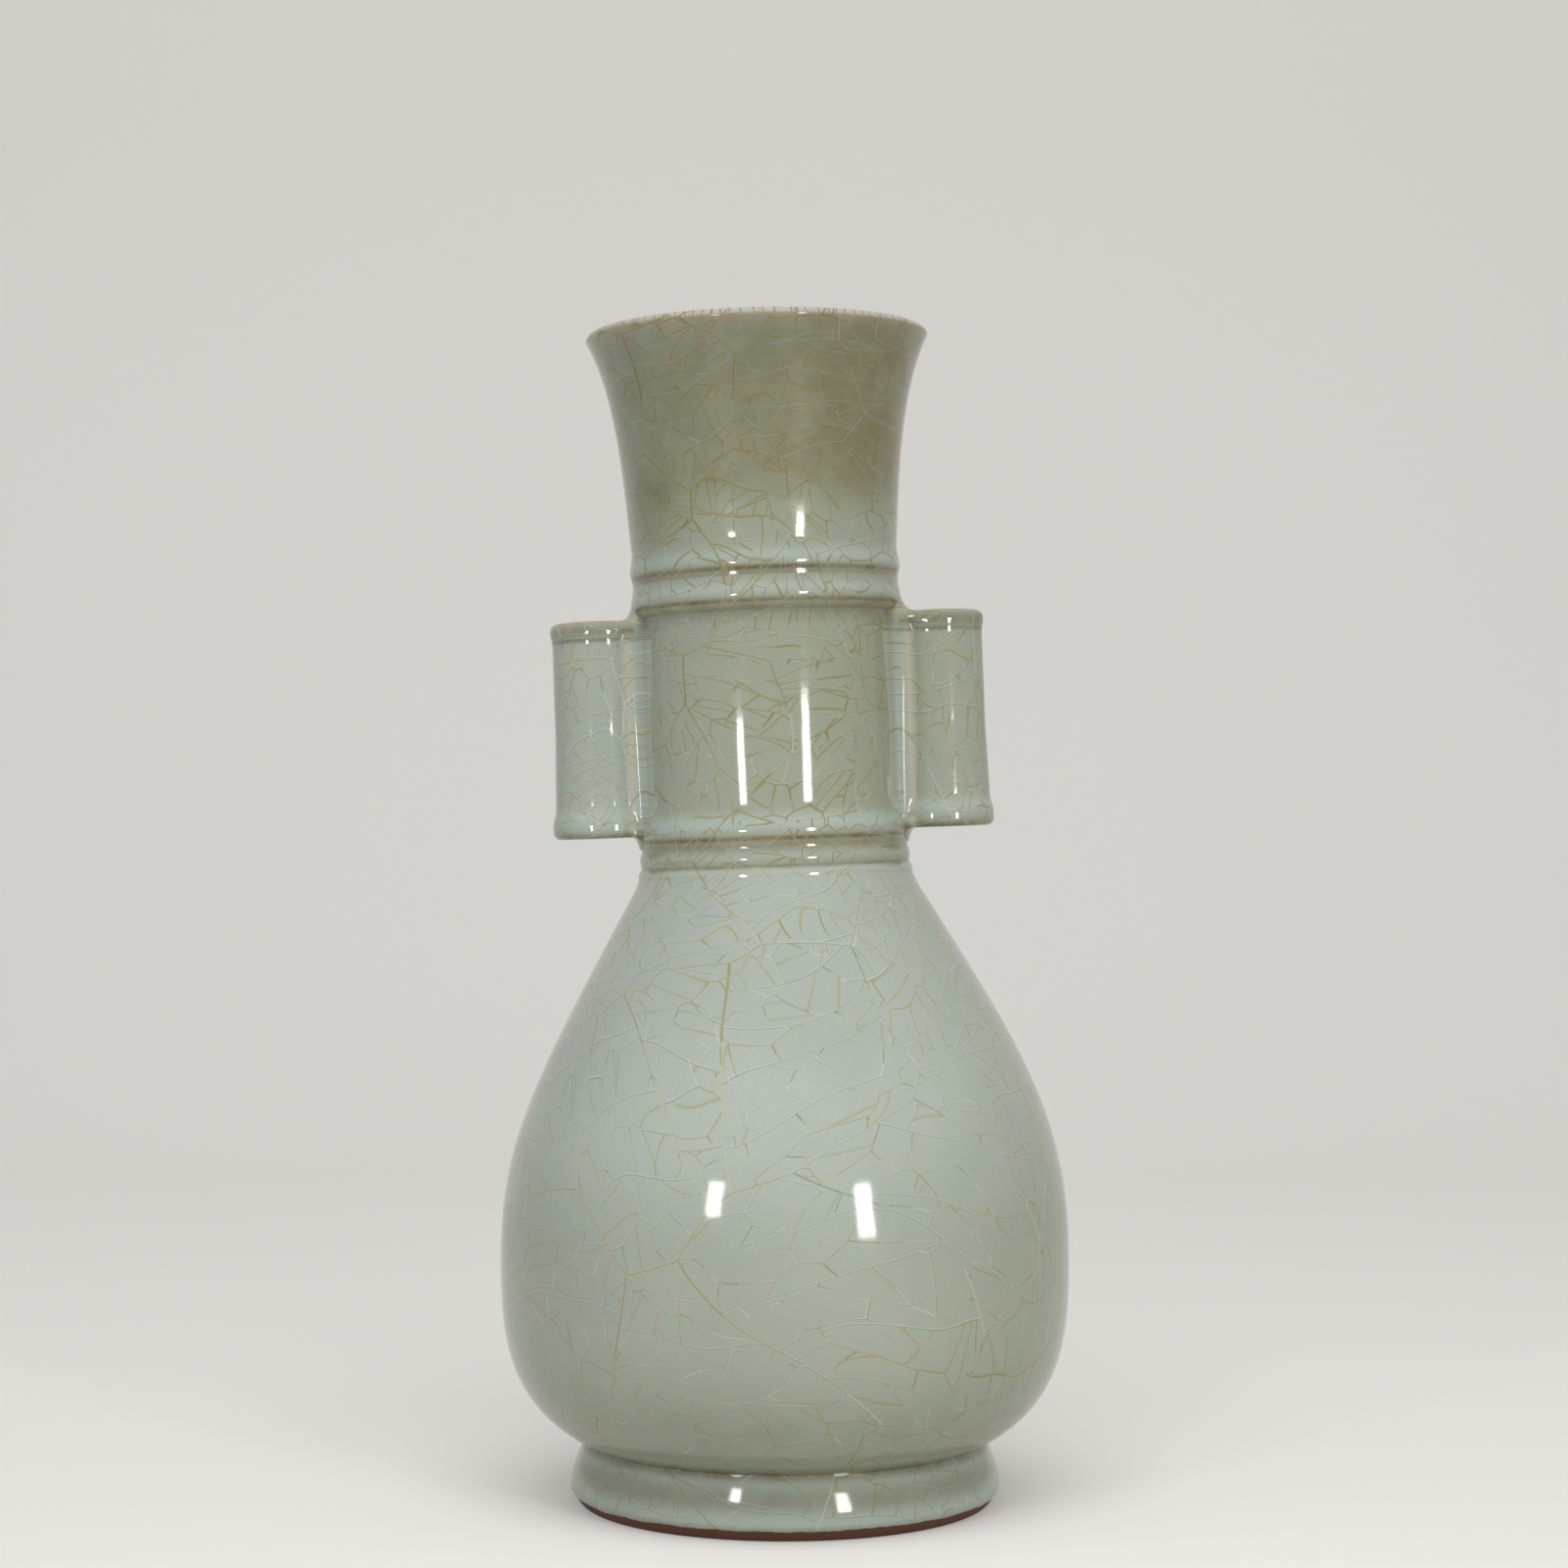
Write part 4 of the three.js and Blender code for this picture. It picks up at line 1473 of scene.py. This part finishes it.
    def lay(self, tree: Tree, layers: Sequence[tuple[Socket, float, str]]) -> Socket:
        """Lays colours over the glaze's body.

        Args:
            tree: The material's node tree.
            layers: Each layer's share, the most that it covers and its colour, from the bottom up.

        Returns:
            The colour.
        """
        colour = None
        for share, most, over in layers:
            amount = add(tree, "ShaderNodeMath", {"operation": "MULTIPLY", 1: most}, {0: share})
            mix = add(tree, "ShaderNodeMix", {"data_type": "RGBA"}, {"Factor": amount}).node
            under, top = [socket for socket in mix.inputs if socket.type == "RGBA"]
            under.default_value = linear(self.body)
            top.default_value = linear(over)
            if colour:
                tree.links.new(colour, under)
            colour = next(socket for socket in mix.outputs if socket.type == "RGBA")
        return colour

    def build(self) -> bpy.types.Material:
        """Builds the material.

        Returns:
            The finished material.
        """
        material = bpy.data.materials.new(self.name)
        material.use_nodes = True
        tree = material.node_tree
        tree.nodes.clear()
        lie = self.lie(tree)
        bare = {**SOFT, "From Min": 0.9, "From Max": 1.4}
        lip = add(tree, "ShaderNodeMapRange", bare, {"Value": lie.thin})
        warmer = {**SOFT, "From Min": 0.25, "From Max": 1.0}
        deep = add(tree, "ShaderNodeMapRange", warmer, {"Value": lie.warm})
        painted_crack_shade, pale, gold, halo = self.crackle(tree, lie, deep, lip)

        # Clouds in the glaze, its bubbles, and blotches in its staining and painted shade
        clouds = self.clouds.build(tree, lie.place)
        bubbles = self.bubbles.build(tree, lie.place)
        blotches = self.blotches.build(tree, lie.place)
        spread = add(tree, "ShaderNodeMath", {"operation": "MULTIPLY_ADD", 1: 0.35, 2: 0.65}, {0: blotches})
        stained_and_shaded = add(tree, "ShaderNodeMath", {"operation": "MULTIPLY"}, {0: lie.stain_and_shade, 1: spread})

        # Warm glaze is tinted by its rubbed colour, has deeper gold and shows less painted highlight along
        # its cracks
        warmest = {**SOFT, "From Min": 0.8, "From Max": 1.2}
        rich = add(tree, "ShaderNodeMapRange", warmest, {"Value": lie.warm})
        tint = add(tree, "ShaderNodeMath", {"operation": "MULTIPLY"}, {0: rich, 1: spread})
        deep_gold = add(tree, "ShaderNodeMath", {"operation": "MULTIPLY"}, {0: gold, 1: deep})
        faint = add(tree, "ShaderNodeMath", {"operation": "MULTIPLY_ADD", 1: -0.55, 2: 1.0}, {0: deep})
        pale = add(tree, "ShaderNodeMath", {"operation": "MULTIPLY"}, {0: pale, 1: faint})

        # The layers of colour, from the depth of the glaze to the cracks on top
        layers = [
            (clouds, 0.6, self.misty),
            (bubbles, 0.2, self.shade),
            (lie.warm, 0.75, self.warm),
            (lie.pool, 0.8, self.pooled),
            (lie.thin, 0.8, self.thin),
            # Staining, with the painted shade in grooves and corners
            (stained_and_shaded, 0.95, self.stain_and_shade),
            (tint, 0.36, self.amber),
            (lip, 0.65, self.pale),
            (halo, 0.12, self.ochre),
            # The cracks' painted shade, then their gold, and last their painted highlight
            (painted_crack_shade, 0.65, self.painted_shade),
            (gold, 0.75, self.ochre),
            (deep_gold, 0.6, self.amber),
            (pale, 0.55, self.pale),
        ]
        matting = {"To Min": self.gloss_roughness, "To Max": self.dull_roughness}
        roughness = add(tree, "ShaderNodeMapRange", matting, {"Value": lie.dull})
        gloss = add(tree, "ShaderNodeMapRange", {"To Min": 0.5, "To Max": 0.1}, {"Value": lie.dull})
        if self.footed:
            clay = self.bare_edge(tree, lie.place)
            layers.append((clay, 1.0, self.bare))
            matt = add(tree, "ShaderNodeMath", {"operation": "MULTIPLY", 1: 0.75}, {0: clay})
            roughness = add(tree, "ShaderNodeMath", {"operation": "MAXIMUM"}, {0: roughness, 1: matt})
        colour = self.lay(tree, layers)

        # The skin: slow swell of a run glaze
        run = {"Scale": 1 / self.swell_size, "Detail": 1.0}
        swell = add(tree, "ShaderNodeTexNoise", run, {"Vector": lie.place})
        relief = {"Strength": 0.1, "Distance": self.swell_depth * MM}
        skin = add(tree, "ShaderNodeBump", relief, {"Height": swell})
        shader = add(tree, "ShaderNodeBsdfPrincipled", {
            "IOR": 1.5,
            "Subsurface Weight": 0.1,
            "Subsurface Scale": self.scatter * MM,
            "Subsurface Radius": (0.9, 1.0, 0.9),
        }, {"Base Color": colour, "Roughness": roughness, "Specular IOR Level": gloss, "Normal": skin})
        add(tree, "ShaderNodeOutputMaterial", None, {"Surface": shader})
        return material


@dataclass(frozen=True)
class Lamp:
    """A rectangular lamp that looks at the vase's axis, in metres and watts."""

    name: str
    place: tuple[float, float, float]
    size: tuple[float, float]
    power: float
    spread: float = math.pi
    mirrored: bool = True
    aim_height: float = 0.16

    def build(self) -> None:
        """Makes the lamp, which shows in the glaze's gloss only where it is mirrored."""
        data = bpy.data.lights.new(self.name, "AREA")
        data.shape = "RECTANGLE"
        data.size, data.size_y = self.size
        data.energy = self.power
        data.spread = self.spread
        made = bpy.data.objects.new(self.name, data)
        made.location = self.place
        aim = Vector((0, 0, self.aim_height)) - Vector(self.place)
        made.rotation_euler = aim.to_track_quat("-Z", "Y").to_euler()
        made.visible_glossy = self.mirrored
        bpy.context.scene.collection.objects.link(made)


@dataclass(frozen=True)
class Studio:
    """Plain pale sweep, plain soft light and the camera, in metres, its lens and sensor in millimetres."""

    camera_distance: float = 0.977
    camera_height: float = 0.2
    camera_side: float = -0.0003
    camera_pitch: float = math.radians(0.87)
    lens: float = 74.25
    sensor: float = 36.0
    sweep_colour: str = "DEDCD8"
    sweep_lift: float = 0.28
    sweep_front: float = -3.0
    sweep_back: float = 0.9
    sweep_radius: float = 0.8
    sweep_height: float = 3.0
    sweep_half_width: float = 3.5
    sweep_steps: int = 32
    surround: float = 0.47
    surround_lift: float = 0.08

    def sweep(self) -> None:
        """Makes the floor and the wall behind it as one curved sheet."""
        line = [Vector((self.sweep_front, 0.0)), Vector((self.sweep_back, 0.0))]
        for i in range(1, self.sweep_steps + 1):
            angle = math.pi / 2 * i / self.sweep_steps
            line.append(Vector((
                self.sweep_back + self.sweep_radius * math.sin(angle),
                self.sweep_radius * (1 - math.cos(angle)),
            )))
        line.append(Vector((self.sweep_back + self.sweep_radius, self.sweep_height)))
        bm = bmesh.new()
        side = self.sweep_half_width / MM
        verts = [bm.verts.new((-side, p.x / MM, p.y / MM)) for p in line]
        edges = [bm.edges.new(pair) for pair in zip(verts, verts[1:])]
        pulled = bmesh.ops.extrude_edge_only(bm, edges=edges)["geom"]
        moved = [item for item in pulled if isinstance(item, bmesh.types.BMVert)]
        bmesh.ops.translate(bm, vec=(2 * side, 0, 0), verts=moved)
        bmesh.ops.recalc_face_normals(bm, faces=bm.faces)
        for face in bm.faces:
            face.smooth = True
        if sum(face.normal.z for face in bm.faces) < 0:
            bmesh.ops.reverse_faces(bm, faces=bm.faces)
        made = new_object("floor", bm)
        made.data.materials.append(self.paper())

    def seen_strength(self, tree: Tree, light: float, lift: float) -> Socket:
        """Lifts a strength for the rays that show the background, and not for those that light the vase.

        Args:
            tree: The node tree of the paper or the world.
            light: Strength for the rays that light the vase.
            lift: What the other rays see more than that.

        Returns:
            The strength.
        """
        rays = add(tree, "ShaderNodeLightPath").node.outputs
        seen = rays["Is Camera Ray"]
        for kind in ("Is Glossy Ray", "Is Transmission Ray"):
            seen = add(tree, "ShaderNodeMath", {"operation": "MAXIMUM"}, {0: seen, 1: rays[kind]})
        return add(tree, "ShaderNodeMath", {"operation": "MULTIPLY_ADD", 1: lift, 2: light}, {0: seen})

    def paper(self) -> bpy.types.Material:
        """Builds the sweep's matt pale paper, which the camera and the glaze's gloss see a little lighter.

        Returns:
            The finished material.
        """
        material = bpy.data.materials.new("matt_paper")
        material.use_nodes = True
        tree = material.node_tree
        tree.nodes.clear()
        colour = linear(self.sweep_colour)
        matt = add(tree, "ShaderNodeBsdfDiffuse", {"Color": colour})
        strength = self.seen_strength(tree, 0.0, self.sweep_lift)
        lift = add(tree, "ShaderNodeEmission", {"Color": colour}, {"Strength": strength})
        both = add(tree, "ShaderNodeAddShader", None, {0: matt, 1: lift})
        add(tree, "ShaderNodeOutputMaterial", None, {"Surface": both})
        return material

    def world(self) -> None:
        """Sets an even pale surround."""
        world = bpy.data.worlds.new("studio")
        world.use_nodes = True
        world.node_tree.nodes.clear()
        strength = self.seen_strength(world.node_tree, self.surround, self.surround_lift)
        even = add(world.node_tree, "ShaderNodeBackground", {"Color": (1, 1, 1, 1)}, {"Strength": strength})
        add(world.node_tree, "ShaderNodeOutputWorld", None, {"Surface": even})
        bpy.context.scene.world = world

    def lamps(self) -> None:
        """Sets two small lamps where the glaze's highlights ask for them, and a broad one overhead."""
        narrow = math.radians(110)
        for lamp in (
            Lamp("left_box", (-0.22, -0.443, 0.211), (0.044, 0.076), 0.12, narrow),
            Lamp("right_box", (0.332, -0.565, 0.212), (0.07, 0.16), 0.36, narrow),
            Lamp("overhead", (0.0, -0.8, 1.7), (1.2, 0.9), 12.5, mirrored=False),
        ):
            lamp.build()

    def camera(self) -> None:
        """Sets the camera at the photograph's place."""
        data = bpy.data.cameras.new("camera")
        data.lens = self.lens
        data.sensor_width = self.sensor
        made = bpy.data.objects.new("camera", data)
        made.location = (self.camera_side, -self.camera_distance, self.camera_height)
        made.rotation_euler = (math.pi / 2 + self.camera_pitch, 0, 0)
        bpy.context.scene.collection.objects.link(made)
        bpy.context.scene.camera = made

    def build(self) -> None:
        """Makes sweep, surround, lamps and camera."""
        self.sweep()
        self.world()
        self.lamps()
        self.camera()
        bpy.context.scene.view_settings.view_transform = "Standard"


def main() -> None:
    """Builds the studio, and the vase from the foot up, and dresses it."""
    logging.basicConfig(level=logging.INFO)
    noise.seed_set(SWELL_SEED)
    Studio().build()
    glazes = {
        Slot.CELADON: CrackleGlaze().build(),
        Slot.FOOT: CrackleGlaze(name="foot_crackle", footed=True).build(),
    }
    pieces = []
    start = WALL_START
    for section in (
        FootRing("foot_ring_glazed", "foot_ring", Slot.FOOT),
        Bowl("bowl_glazed", "bowl"),
        Shoulder("shoulder_glazed", "shoulder"),
        Neck("neck_glazed", "neck"),
        Mouth("mouth_glazed", "mouth"),
    ):
        made, start = section.build(start)
        pieces.append((section, made))
    for handle in (
        Handle("right_handle_glazed", "right_handle"),
        Handle(
            "left_handle_glazed", "left_handle", side=Side.LEFT, warm=0.3, pattern_start=1000.0,
            top_slip=(6.2, 5.0),
        ),
    ):
        pieces.append((handle, handle.build()))
    for piece, made in pieces:
        piece.dress(made, glazes)
        log.info("%s: %d faces", made.name, len(made.data.polygons))


if __name__ == "__main__":
    main()
